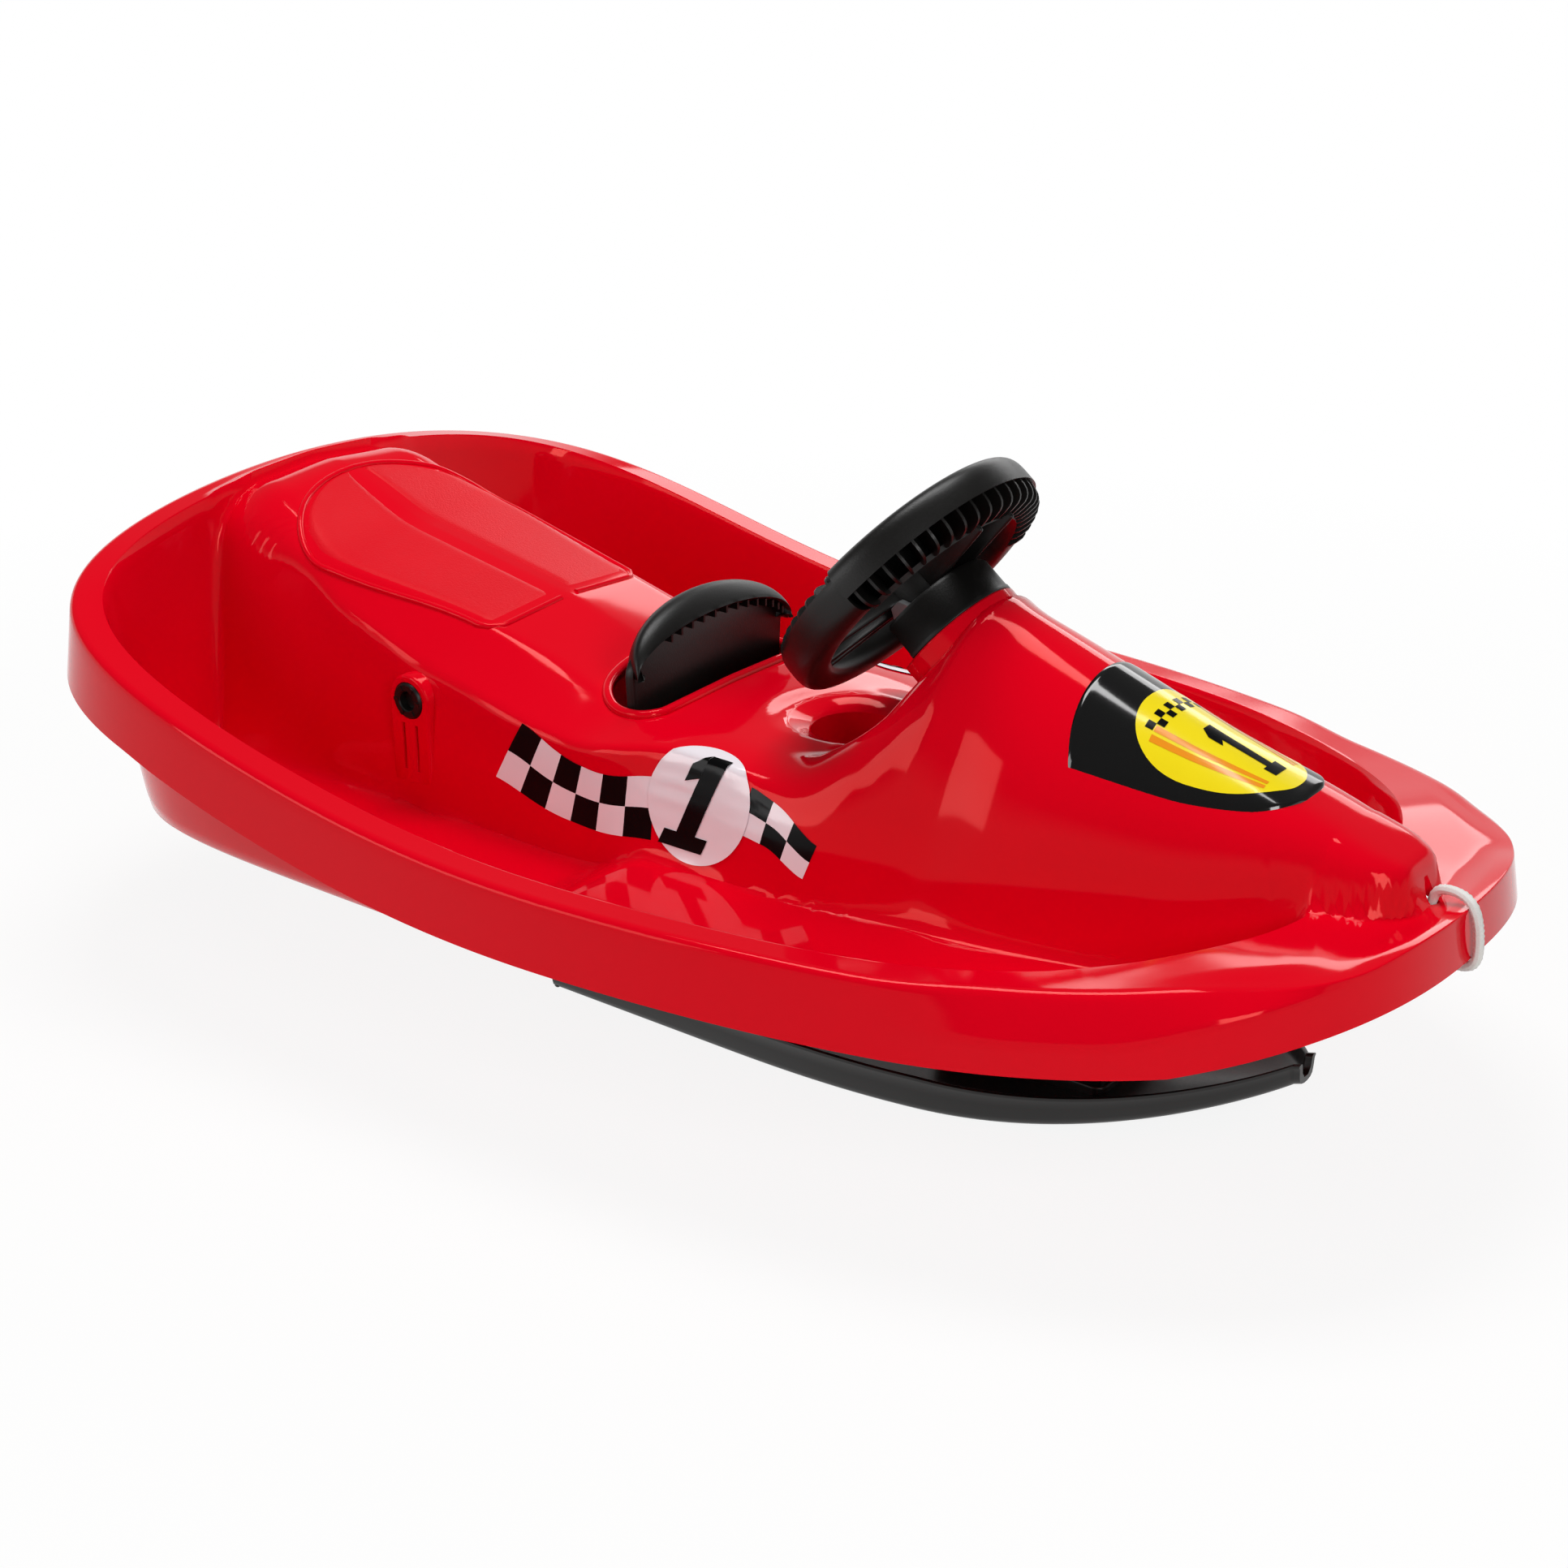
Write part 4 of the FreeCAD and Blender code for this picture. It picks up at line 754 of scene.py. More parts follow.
def openHull():
    inside = filledHull()
    thicken(hullObject, hull["skin"])
    top, w = 400, recess["wall"]
    floorZ = deckHeight(recess["front"], 0) - recess["depth"]
    carve(hullObject, upright("recessTool", recessRing(), floorZ, top, redPolyethylene))
    r, d, c, m = cup["radius"], cup["depth"], cup["chamfer"], cup["mouth"]
    cupSpot = Vector((cup["place"], 0, deckHeight(cup["place"], 0)))
    cupCut = [  # runs a little behind the well's face, so that no two faces lie in one place
        (0, 60), (m + 0.6, 60), (m + 0.6, 0.2), (m - 2, -1.2), (r + 2.4, -c), (r + 0.4, -c - 2.6),
        (r + 0.4, -d), (0, -d)]
    carve(hullObject, lathe("cupTool", cupCut, redPolyethylene, cupSpot))
    s, low, high = scoop["radius"], scoop["low"], scoop["high"]
    carve(hullObject, lathe("scoopTool", rod(s, low, high), redPolyethylene, columnFoot, toRider, toTop))
    hole = rod(ropeHole["radius"], -ropeHole["reach"], ropeHole["reach"])
    holeSpot = Vector((ropeHole["place"], 0, ropeHole["height"]))
    carve(hullObject, lathe("holeTool", hole, redPolyethylene, holeSpot))
    # liners, trimmed by the hull's own surface
    pocket = upright("recessPocket", recessRing(w), floorZ - w, top, redPolyethylene)
    carve(pocket, upright("pocketTool", recessRing(), floorZ, top + 5, redPolyethylene))
    cupPiece = lathe("cupWell", [
        (0, -d), (r - 6, -d), (r - 2, -d + 2), (r, -d + 6), (r, -c - 2), (r + 2, -c + 0.6), (m - 2, -0.6),
        (m, 0.3), (m + 0.3, 0.3), (m - 1, -4), (r + w, -c - 4), (r + w, -d - w), (0, -d - w)],
        redPolyethylene, cupSpot)
    bore = column["radius"] + 4
    sleeve = lathe("columnPocket", [
        (bore, low), (s, low), (s, high), (s + w, high), (s + w, low - w), (bore, low - w), (bore, low)],
        redPolyethylene, columnFoot, toRider, toTop)
    for liner in (pocket, sleeve, cupPiece):
        carve(liner, copyObject(inside), "INTERSECT")
        sharpen(liner, 35)
    bpy.data.objects.remove(inside)
    n = neckRing["radius"]
    neck = lathe("cowlNeck", [
        (n, 3), (n + 3, 3), (n + 3.8, 2), (n + 3.6, -10), (n + 2.4, -28), (n + 0.8, -45), (n, -45), (n, 3)],
        redPolyethylene, columnFoot, toRider, toTop, 72, (-neckRing["turn"], neckRing["turn"]))
    sharpen(hullObject, 40)
    return [pocket, sleeve, cupPiece, neck]


hullParts = openHull()
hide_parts("body_shell")
for piece in [hullObject] + hullParts:
    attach(piece, "hull")
print("hull opened")


def alongSurface(points, lift=0.0):
    return [Vector((x, y, deckHeight(x, y) + lift)) for x, y in points]


# seat panels and their beads, rolled lip round the brake recess

def buildSeat():
    seat = dict(front=-203, rear=-404, arc=-344, channel=8, wide=72, growth=19, lift=1.0, sink=0.8)
    bead = dict(radius=2.4, gap=4, sink=0.5)
    lip = dict(grow=2.5, radius=3.6, lift=0.4, spacing=5)

    def half(x):
        side = seat["wide"] + seat["growth"] * ease((seat["front"] - x) / 150)
        end = math.sqrt(max(1 - (max(seat["arc"] - x, 0) / (seat["arc"] - seat["rear"])) ** 2, 0))
        nose = min((seat["front"] - x) / 9, 1)
        return seat["channel"] + (side - seat["channel"]) * end * (1 - 0.12 * (1 - nose) ** 2)

    def station(share):
        return between((seat["front"], seat["rear"]), math.sin(math.pi / 2 * share))

    made = []
    for side, word in ((-1, "Right"), (1, "Left")):
        rows = []
        countX, countY = 70, 26
        for i in range(countX + 1):
            x = station(i / countX)
            row = []
            for k in range(countY + 1):
                y = between((seat["channel"], half(x)), k / countY)
                rim = min(k, countY - k, i, countX - i) / 2.5
                lift = (seat["lift"] + seat["sink"]) * ease(rim) - seat["sink"]
                row.append(Vector((x, side * y, deckHeight(x, y) + lift)))
            rows.append(row)
        verts, faces = grid(rows, flip=side < 0)
        made.append(newObject("seatPanel" + word, verts, faces, redGrained, 60))
        gap = bead["gap"]
        width = (side * seat["channel"], side * seat["wide"])
        line = [(seat["front"] + gap, between(width, k / 12)) for k in range(12)]
        for i in range(1, 60):
            x = station(i / 60)
            away = Vector((half(x - 1) / 2 - half(x + 1) / 2, 1, 0)).normalized() * gap
            line.append((x + away.x, side * (half(x) + away.y)))
        line.append((seat["rear"] - gap, 0))
        spots = alongSurface(line, -bead["sink"])
        made.append(tubeAlong("seatBead" + word, spots, bead["radius"], redPolyethylene, sides=16))
    ring = recessRing(lip["grow"])
    dense = []
    for (x0, y0), (x1, y1) in zip(ring, ring[1:] + ring[:1]):
        steps = max(1, int(math.hypot(x1 - x0, y1 - y0) / lip["spacing"]))
        dense += [(between((x0, x1), k / steps), between((y0, y1), k / steps)) for k in range(steps)]
    spots = alongSurface(dense, lip["lift"])
    made.append(tubeAlong("recessLip", spots, lip["radius"], redPolyethylene, closed=True, sides=16))
    for piece in made:
        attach(piece, "hull")


buildSeat()
print("seat made")


# brake lever: domed grip over a flat plate in the recess

brakeAxle = Vector((-236, 0, 175))


def buildBrake():
    grip = dict(front=-66, half=83, low=214, rim=28, peak=62, reach=26, depth=42, wall=4, fins=13,
                finThick=1.8)
    plate = dict(front=-73, thick=7, top=80, foot=77, low=152, corner=12)
    arm = dict(half=24, waist=6, belly=8, front=-76, frontLow=145, frontHigh=157, rear=-416, rearLow=157,
               rearHigh=175, leg=10, foot=56)
    hub = dict(bore=6.3, radius=15, half=48, chamfer=1.5)
    rows = []
    for i in range(25):
        t = i / 24
        row = []
        for k in range(49):
            a = math.pi * k / 48
            c, d = math.cos(a), math.sin(a) ** 0.9
            first = Vector((grip["front"], grip["half"] * c, grip["low"] + grip["rim"] * d))
            crest = Vector((grip["front"] - grip["reach"] * d, grip["half"] * c,
                            grip["low"] + grip["peak"] * d))
            last = Vector((grip["front"] - grip["depth"] * d, 0.94 * grip["half"] * c, grip["low"] - 4 * d))
            row.append(first * (1 - t) ** 2 + crest * (2 * t * (1 - t)) + last * t * t)
        rows.append(row)
    verts, faces = grid(rows)
    visor = newObject("brakeVisor", verts, faces, blackPolypropylene, 60)
    weld(visor)
    thicken(visor, grip["wall"])
    softEdges(visor, 1.4, 3, 50)
    parts = [visor]
    for k in range(grip["fins"]):
        a = math.pi * (0.1 + 0.6 * k / (grip["fins"] - 1))
        y = (grip["half"] - 5) * math.cos(a)
        z = grip["low"] + (grip["rim"] - 1) * math.sin(a) ** 0.9
        t = grip["finThick"] / 2
        low, high = (plate["front"] - 3, y - t, z - 5), (grip["front"] - 1.2, y + t, z)
        parts.append(solidBox("fin", low, high, blackPolypropylene))
    # flat board under the visor, with round lower corners
    corner = plate["corner"]
    right = cornerArc(plate["foot"] - corner, plate["low"] + corner, corner, -90, 6)
    arch = []
    for k in range(25):
        a = math.pi * k / 24
        arch.append((plate["top"] * math.cos(a), grip["low"] + (grip["rim"] + 4) * math.sin(a)))
    ring = right + arch + [(-y, z) for y, z in right[::-1]]
    faceAt = (plate["front"] - plate["thick"], plate["front"])
    board = closedPiece("brakeBoard", [[Vector((x, y, z)) for y, z in ring] for x in faceAt],
                        blackPolypropylene)
    softEdges(board, 1.2)
    parts.append(board)
    lever = joinInto("brakeGrip", parts)
    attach(lever, "brake")
    # arm, cross hub and tail under the seat
    upper, lower = brakeAxle.z + arm["waist"], brakeAxle.z - arm["waist"]
    front, rear, leg = arm["front"], arm["rear"], arm["rear"] - arm["leg"]
    outlines = dict(
        brakeArm=[(brakeAxle.x, lower), (front, arm["frontLow"]), (front, arm["frontHigh"]),
                  (brakeAxle.x, upper)],
        brakeTail=[(brakeAxle.x, upper), (rear, arm["rearHigh"]), (rear, arm["rearLow"]),
                   (brakeAxle.x, brakeAxle.z - arm["belly"])],
        brakeLeg=[(leg, arm["rearHigh"]), (rear, arm["rearHigh"]), (rear, arm["foot"]), (leg, arm["foot"])])
    beams = []
    for name, line in outlines.items():
        sides = [[Vector((x, y, z)) for x, z in line] for y in (-arm["half"], arm["half"])]
        beams.append(closedPiece(name, sides, blackPolypropylene))
        softEdges(beams[-1], 2.0)
    b, r, h, c = hub["bore"], hub["radius"], hub["half"], hub["chamfer"]
    beams.append(lathe("brakeHub", [
        (b, -h), (r - c, -h), (r, c - h), (r, h - c), (r - c, h), (b, h), (b, -h)],
        blackPolypropylene, brakeAxle, Vector((0, 1, 0)), Vector((1, 0, 0)), 40))
    frameWork = joinInto("brakeFrame", beams)
    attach(frameWork, "brake")
    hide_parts("brake_lever")


buildBrake()
print("brake made")


# steering wheel about its own axis

wheel = dict(offset=50, radius=95, breadth=25, depth=30, power=0.62, gripStep=2.5, gripHalfAngle=76,
             wall=3.2, finThick=1.6, topFins=22, lowFins=31)
wheelCentre = columnFoot + toRider * wheel["offset"]
ringMiddle = wheel["radius"] - wheel["breadth"] / 2


def onWheel(radial, axial, degrees):
    a = math.radians(degrees)
    flat = toTop * (radial * math.cos(a)) + Vector((0, radial * math.sin(a), 0))
    return wheelCentre + flat + toRider * axial


def channelSection(extra, opening):
    # C section as (radial, axial): open to the nose and half outwards, or open to the rider
    a, b, t = wheel["breadth"] / 2 + extra, wheel["depth"] / 2 + extra, wheel["wall"]
    outside, inside = [], []
    ends = (-8, 240) if opening == "nose" else (145, 395)
    for k in range(41):
        turn = math.radians(between(ends, k / 40))
        c, d = squarish(math.cos(turn), wheel["power"]), squarish(math.sin(turn), wheel["power"])
        outside.append((a * c, b * d))
        inside.append(((a - t) * c, (b - t) * d))
    return outside + inside[::-1]


def ringArc(name, section, start, end, steps):
    rows = []
    for k in range(steps + 1):
        angle = start + (end - start) * k / steps
        rows.append([onWheel(ringMiddle + r, h, angle) for r, h in section])
    verts, faces = grid(rows, closeColumns=True)
    count = len(section)
    half = count // 2
    for base in (0, steps * count):
        for k in range(half - 1):
            faces.append((base + k, base + k + 1, base + count - 2 - k, base + count - 1 - k))
    obj = newObject(name, verts, faces, blackPolypropylene, 45)
    weld(obj)
    sharpen(obj, 45)
    return obj


def ringFin(angle, extra, shift):
    # thin plate across the channel, moved towards its opening
    a, b = wheel["breadth"] / 2 + extra - 0.8, wheel["depth"] / 2 + extra - 0.8
    points = []
    for k in range(24):
        turn = 2 * math.pi * k / 24
        c, d = squarish(math.cos(turn), wheel["power"]), squarish(math.sin(turn), wheel["power"])
        points.append((ringMiddle + a * c + shift[0], b * d + shift[1]))
    half = math.degrees(wheel["finThick"] / 2 / ringMiddle)
    rows = [[onWheel(r, h, angle + side * half) for r, h in points] for side in (-1, 1)]
    return closedPiece("fin", rows, blackPolypropylene)


def bar(name, corners, degrees, depths):
    # flat plate in the wheel's plane from (radial, lateral) corners, turned to its spoke
    a = math.radians(degrees)
    turned = [(u * math.cos(a) - v * math.sin(a), u * math.sin(a) + v * math.cos(a)) for u, v in corners]
    rows = [[wheelCentre + toTop * u + Vector((0, v, 0)) + toRider * h for u, v in turned] for h in depths]
    obj = closedPiece(name, rows, blackPolypropylene)
    softEdges(obj, 1.5)
    return obj


def spokePlate(name, degrees, root, rim, halves, depths):
    # plate from hub to ring, by its half widths at both ends
    corners = [(root, -halves[0]), (rim, -halves[1]), (rim, halves[1]), (root, halves[0])]
    return bar(name, corners, degrees, depths)


def spokeWalls(name, degrees, root, rim, halves, depths, wall=3.5):
    # two walls along the sides of such a plate
    made = []
    for side in (-1, 1):
        near, far = side * halves[0], side * halves[1]
        corners = [(root, near), (rim, far), (rim, far - side * wall), (root, near - side * wall)]
        made.append(bar(name, corners, degrees, depths))
    return made


def buildWheel():
    g = wheel["gripHalfAngle"]
    barrel = dict(bore=15.2, radius=24, low=-28, high=14)
    upper = ringArc("gripRing", channelSection(wheel["gripStep"], "nose"), -g, g, 60)
    lower = ringArc("lowerRing", channelSection(0, "rider"), g, 360 - g, 84)
    topFins, lowFins = [], []
    for k in range(wheel["topFins"]):
        angle = between((4 - g, g - 4), k / (wheel["topFins"] - 1))
        topFins.append(ringFin(angle, wheel["gripStep"] - 1.2, (0, -1.6)))
    for k in range(wheel["lowFins"]):
        angle = between((g + 3, 357 - g), k / (wheel["lowFins"] - 1))
        lowFins.append(ringFin(angle, -0.6, (0.6, 2.4)))
    gripPiece = joinInto("wheelGrip", [upper] + topFins)
    ringPiece = joinInto("wheelRing", [lower] + lowFins)
    inner = ringMiddle - wheel["breadth"] / 2
    parts = spokeWalls("spokeWeb", 0, root=18, rim=inner + 7, halves=(15, 19), depths=(-20, 9))
    parts.append(spokePlate("spokeBack", 0, root=15, rim=inner + 6, halves=(13, 17), depths=(5, 9)))
    for angle in (125, -125):
        parts.append(spokePlate("spokeShelf", angle, root=14, rim=inner + 7, halves=(14, 22), depths=(2, 6)))
        parts.append(spokePlate("spokeRib", angle, root=14, rim=inner + 6, halves=(2, 2), depths=(-14, 3)))
        parts += spokeWalls("spokeEdge", angle, root=14, rim=inner + 7, halves=(14, 22), depths=(-12, 4))
    b, r, low, high = barrel["bore"], barrel["radius"], barrel["low"], barrel["high"]
    parts.append(lathe("hubBarrel", [
        (b, low), (r - 1.5, low), (r, low + 1.5), (r, high - 2), (r - 2, high), (b, high), (b, low)],
        blackPolypropylene, wheelCentre, toRider, toTop))
    spider = joinInto("wheelSpider", parts)
    # half collar in front of the hub, closed by flat ends
    bore, r, low, high = 15.6, column["collar"], 3 - wheel["offset"], -21
    collar = lathe("collar", [
        (r - 3, low), (r + 0.6, low), (r + 0.6, low + 3), (r, low + 4), (r, high - 3), (r - 2, high),
        (bore, high), (bore, high - 3), (r - 4, high - 3), (r - 3.2, high - 5), (r - 3, low)],
        blackPolypropylene, wheelCentre, toRider, toTop, 48, (-98, 98))
    closeHoles(collar)
    softEdges(collar, 0.8)
    cap = lathe("hubCap", [
        (0, 19), (12, 18.8), (18, 17.6), (20.6, 15.8), (21, 14.2), (21, 13.6), (0, 13.6)],
        blackPolypropylene, wheelCentre, toRider, toTop)
    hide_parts("steering_wheel")
    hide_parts("wheel_grip")
    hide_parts("wheel_shroud")
    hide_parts("wheel_cap")
    for piece in (gripPiece, ringPiece, spider, collar, cap):
        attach(piece, "steering")


buildWheel()
print("steering wheel made")


# skis: trays with rolled upper edges

def trayPiece(name, stations, half, bottom, wallAt, wall, floor):
    rows = []
    for x in stations:
        w, low, tall = half(x), bottom(x), wallAt(x)
        top, edge = low + tall, w + 0.06 * tall  # the wall leans out to its rolled edge
        right = [
            (w - 7, low), (w - 3, low + 1), (w - 0.8, low + 3), (w, low + 6),
            ((w + edge) / 2, low + 0.6 * tall), (edge, top - 2.5), (edge + 1.2, top - 1.2), (edge + 0.6, top),
            (edge - 1.5, top + 0.4), (edge - wall + 0.4, top - 0.4), (edge - wall, top - 2),
            (w - wall, low + floor + 4), (w - wall - 3, low + floor)]
        loop = right + [(0, low + floor)] + [(-y, z) for y, z in right[::-1]] + [(0, low)]
        rows.append([Vector((x, y, z)) for y, z in loop])
    obj = closedPiece(name, rows, blackSkiPlastic, 50)
    sharpen(obj, 50)
    return obj


def buildFrontSki():
    ski = dict(rear=-106, tip=382, half=132, flatEnd=180, tipRise=36, wallHeight=25, tipWall=15, wall=3.5,
               floor=4)

    def half(x):
        run = min(max((x - 30) / (ski["tip"] - 30), 0), 1)
        return max(ski["half"] * (1 - run ** 2.6) ** 0.8, 9)

    def bottom(x):
        return ski["tipRise"] * max((x - ski["flatEnd"]) / (ski["tip"] - ski["flatEnd"]), 0) ** 2

    def wallAt(x):
        return ramp(x, [(ski["rear"], 0.72 * ski["wallHeight"]), (ski["rear"] + 60, ski["wallHeight"]),
                        (ski["flatEnd"], ski["wallHeight"]), (ski["tip"], ski["tipWall"])])

    count = 90
    ends = (ski["rear"], ski["tip"])
    stations = [between(ends, math.sin(math.pi / 2 * k / count)) for k in range(count + 1)]
    parts = [trayPiece("skiTray", stations, half, bottom, wallAt, ski["wall"], ski["floor"])]
    w, tall = half(ski["rear"]), wallAt(ski["rear"])
    parts.append(solidBox("skiHeel", (ski["rear"], -w + 1, 0.5), (ski["rear"] + 4, w - 1, tall),
                          blackSkiPlastic))
    pad = dict(pin=210.84, reach=62, half=52, low=3, high=16, corner=8)  # under the king pin
    low = (pad["pin"] - pad["reach"], -pad["half"], pad["low"])
    high = (pad["pin"] + pad["reach"], pad["half"], pad["high"])
    parts.append(roundedBox("skiPad", low, high, pad["corner"], blackSkiPlastic))
    for part in parts[1:]:
        softEdges(part, 1.5)
    piece = joinInto("steeringSki", parts)
    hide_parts("front_ski")
    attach(piece, "steering_ski")


def buildRearSki():
    ski = dict(rear=-375, front=-150, half=98, wallHeight=20, rise=16, run=30, wall=3.5, floor=4)
    middle, reach = (ski["rear"] + ski["front"]) / 2, (ski["front"] - ski["rear"]) / 2

    def half(x):
        return ski["half"] * (1 - 0.35 * abs((x - middle) / reach) ** 5)

    def bottom(x):
        front = max((x - ski["front"] + ski["run"]) / ski["run"], 0)
        rear = max((ski["rear"] + ski["run"] - x) / ski["run"], 0)
        return ski["rise"] * (front ** 2 + 0.5 * rear ** 2)

    count = 60
    stations = [middle - reach * math.cos(math.pi * k / count) for k in range(count + 1)]
    parts = [trayPiece("rearTray", stations, half, bottom, lambda x: ski["wallHeight"], ski["wall"],
                       ski["floor"])]
    for x0, x1 in ((ski["rear"], ski["rear"] + 4), (ski["front"] - 4, ski["front"])):
        x = (x0 + x1) / 2
        w = half(x)
        end = solidBox("rearEnd", (x0, -w + 1, bottom(x) + 0.5),
                       (x1, w - 1, bottom(x) + ski["wallHeight"]), blackSkiPlastic)
        softEdges(end, 1.5)
        parts.append(end)
    piece = joinInto("rearSki", parts)
    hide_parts("rear_ski")
    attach(piece, "hull")


buildFrontSki()
buildRearSki()
print("skis made")


# tow rope: the solid's coil and its route, tucked closer round the nose, as one braided cord

rope = dict(radius=3.1, coilX=290, coilY=200, inner=30, step=7, turns=2, knot=8, tie=1)
braid = dict(pitch=13, spacing=1.5, sides=24, slim=0.35, weave=0.5)


def coilPoint(angle):
    low = rope["radius"] + rope["tie"] + 0.5
    high = low + 2 * rope["radius"] + 0.7
    outer = rope["inner"] + rope["step"] * rope["turns"]
    inwardEnd = 2 * math.pi * rope["turns"]
    if angle <= inwardEnd:
        r, z = outer - rope["step"] * angle / (2 * math.pi), high
    elif angle <= inwardEnd + math.pi:
        r = rope["inner"] - 2.5 * math.sin(angle - inwardEnd)
        z = high + (low - high) * ease((angle - inwardEnd) / math.pi)
    else:
        r, z = rope["inner"] + rope["step"] * (angle - inwardEnd - math.pi) / (2 * math.pi), low
    return Vector((rope["coilX"] + r * math.cos(angle), rope["coilY"] + r * math.sin(angle), z))


def ropeTube(spots):
    # round cord along the line, with two sets of strands woven over it
    rows = []
    side = Vector((1, 0, 0))
    sides = braid["sides"]
    for n, p in enumerate(spots):
        ahead = (spots[min(n + 1, len(spots) - 1)] - spots[max(n - 1, 0)]).normalized()
        side = (side - ahead * side.dot(ahead)).normalized()
        third = ahead.cross(side)
        run = 2 * math.pi * n * braid["spacing"] / braid["pitch"]
        row = []
        for k in range(sides):
            a = 2 * math.pi * k / sides
            weave = math.sin(4 * a + 2 * run) * math.sin(4 * a - 2 * run)
            reach = rope["radius"] - braid["slim"] + braid["weave"] * weave
            row.append(p + (side * math.cos(a) + third * math.sin(a)) * reach)
        rows.append(row)
    verts, faces = capped(rows)
    return newObject("towRope", verts, faces, polyesterBraid, 60)


def buildRope():
    edge = rimPoint(1.0)
    first = coilPoint(0)
    way = Vector((0, 1, 0))
    lead = first - way * (2 * rope["radius"])
    start = Vector((lead.x, lead.y, 0))
    inDeck = Vector((ropeHole["place"], 0, edge.z))
    route = [
        inDeck - Vector((0, 0, 14)), inDeck + Vector((0, 0, 1)), edge + Vector((-12, -5, 7)),
        edge + Vector((3, -10, 4.5)), edge + Vector((8.5, -10.5, -14)), edge + Vector((8, -10, -35.5)),
        edge + Vector((-18, 5, -43)), edge + Vector((-65, 46, -71)), edge + Vector((-101, 78, -85)),
        start + Vector((16, -86, 74)), start + Vector((4, -56, 44)), lead - way * 30, lead]
    perTurn = 16
    steps = int((2 * rope["turns"] + 0.5) * perTurn)
    turns = [coilPoint(2 * math.pi * k / perTurn) for k in range(steps + 1)]
    last = turns[-1]
    back = (last - coilPoint(2 * math.pi * steps / perTurn - 0.01)).normalized()
    tail = [last + back * 12, last + back * (1.6 * rope["knot"] + 5.4 * rope["radius"])]
    holder = curveObject("rope", "NURBS", route + turns + tail)
    spline = holder.data.splines[0]
    spline.resolution_u = 10
    spline.order_u = 3
    spline.use_endpoint_u = True
    path = [v.co / mm for v in shownMesh(holder).vertices]
    bpy.data.objects.remove(holder)
    length = sum((b - a).length for a, b in zip(path, path[1:]))
    spots = evenly(path, int(length / braid["spacing"]))
    cord = ropeTube(spots)
    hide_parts("tow_rope", "rope_coil")
    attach(cord, "hull")
    below = route[0] - Vector((0, 0, 5))
    beyond = tail[-1] + back * 5
    beyond.z = rope["knot"] + 0.1
    knots = [buildKnot("stopKnot", "rope_stop_knot", below, Vector((0, 0, 1))),
             buildKnot("endKnot", "rope_end_knot", beyond, back)]
    tuple(c * mm for c in route[0])
    print("rope", round(length), "mm")


def buildKnot(name, node, centre, axis):
    # overhand knot as a tight trefoil of the same braid
    trefoil = dict(scale=1.55, rise=2.2, radius=2.9, points=96)
    side = Vector((1, 0, 0)) if abs(axis.x) < 0.8 else Vector((0, 1, 0))
    side = (side - axis * side.dot(axis)).normalized()
    third = axis.cross(side)
    points = []
    for k in range(trefoil["points"]):
        t = 2 * math.pi * k / trefoil["points"]
        u = (math.sin(t) + 2 * math.sin(2 * t)) * trefoil["scale"]
        v = (math.cos(t) - 2 * math.cos(2 * t)) * trefoil["scale"]
        points.append(centre + side * u + third * v - axis * (math.sin(3 * t) * trefoil["rise"]))
    knot = tubeAlong(name, points, trefoil["radius"], polyesterBraid, closed=True, sides=12)
    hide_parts(node)
    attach(knot, "hull")
    return knot


buildRope()


# stickers on the sides of the bench, laid on the curved wall

sideColumns = {}


def sideColumn(x):
    # the wall's section at one place: points by length down from the stickers' middle height
    if x not in sideColumns:
        first, pitch, middle = 60, 0.5, 160
        points = [(first + pitch * k, deckHeight(x, first + pitch * k)) for k in range(220)]
        walkedDown = [0.0]
        for before, after in zip(points, points[1:]):
            walkedDown.append(walkedDown[-1] + math.dist(before, after))
        k = next(n for n, (y, z) in enumerate(points) if z <= middle)
        share = (points[k - 1][1] - middle) / (points[k - 1][1] - points[k][1])
        start = between(walkedDown[k - 1:k + 1], share)
        sideColumns[x] = ([d - start for d in walkedDown], points)
    return sideColumns[x]


def sideSpot(x, up, side):
    def at(place):
        lengths, points = sideColumn(place)
        goal = min(max(-up, lengths[0]), lengths[-1])
        k = max(0, min(len(lengths) - 2, next(n for n, d in enumerate(lengths) if d >= goal) - 1))
        part = (goal - lengths[k]) / (lengths[k + 1] - lengths[k])
        (y0, z0), (y1, z1) = points[k], points[k + 1]
        return Vector((0, between((y0, y1), part), between((z0, z1), part)))

    pitch = 3
    low = pitch * math.floor(x / pitch)
    spot = at(low).lerp(at(low + pitch), (x - low) / pitch)
    return Vector((x, side * spot.y, spot.z))


def onSide(x, up, side, lift):
    spot = sideSpot(x, up, side)
    along = sideSpot(x + 2, up, side) - sideSpot(x - 2, up, side)
    down = sideSpot(x, up - 2, side) - sideSpot(x, up + 2, side)
    out = along.cross(down).normalized()
    return spot + out * (lift if out.y * side > 0 else -lift)


def patch(corners, steps):
    # four flat corners as a fine grid
    a, b, c, d = [Vector((x, y, 0)) for x, y in corners]
    shares = [k / steps for k in range(steps + 1)]
    return [[a.lerp(b, i).lerp(d.lerp(c, i), k) for k in shares] for i in shares]


def rings(count, sides, spot):
    # rings of points from the middle outwards, each placed by its share and angle
    return [[spot(n / count, 2 * math.pi * k / sides) for k in range(sides)] for n in range(count + 1)]


def gather(rowsList):
    verts, faces = [], []
    for rows in rowsList:
        v, f = grid(rows)
        faces += [tuple(k + len(verts) for k in face) for face in f]
        verts += v
    return verts, faces


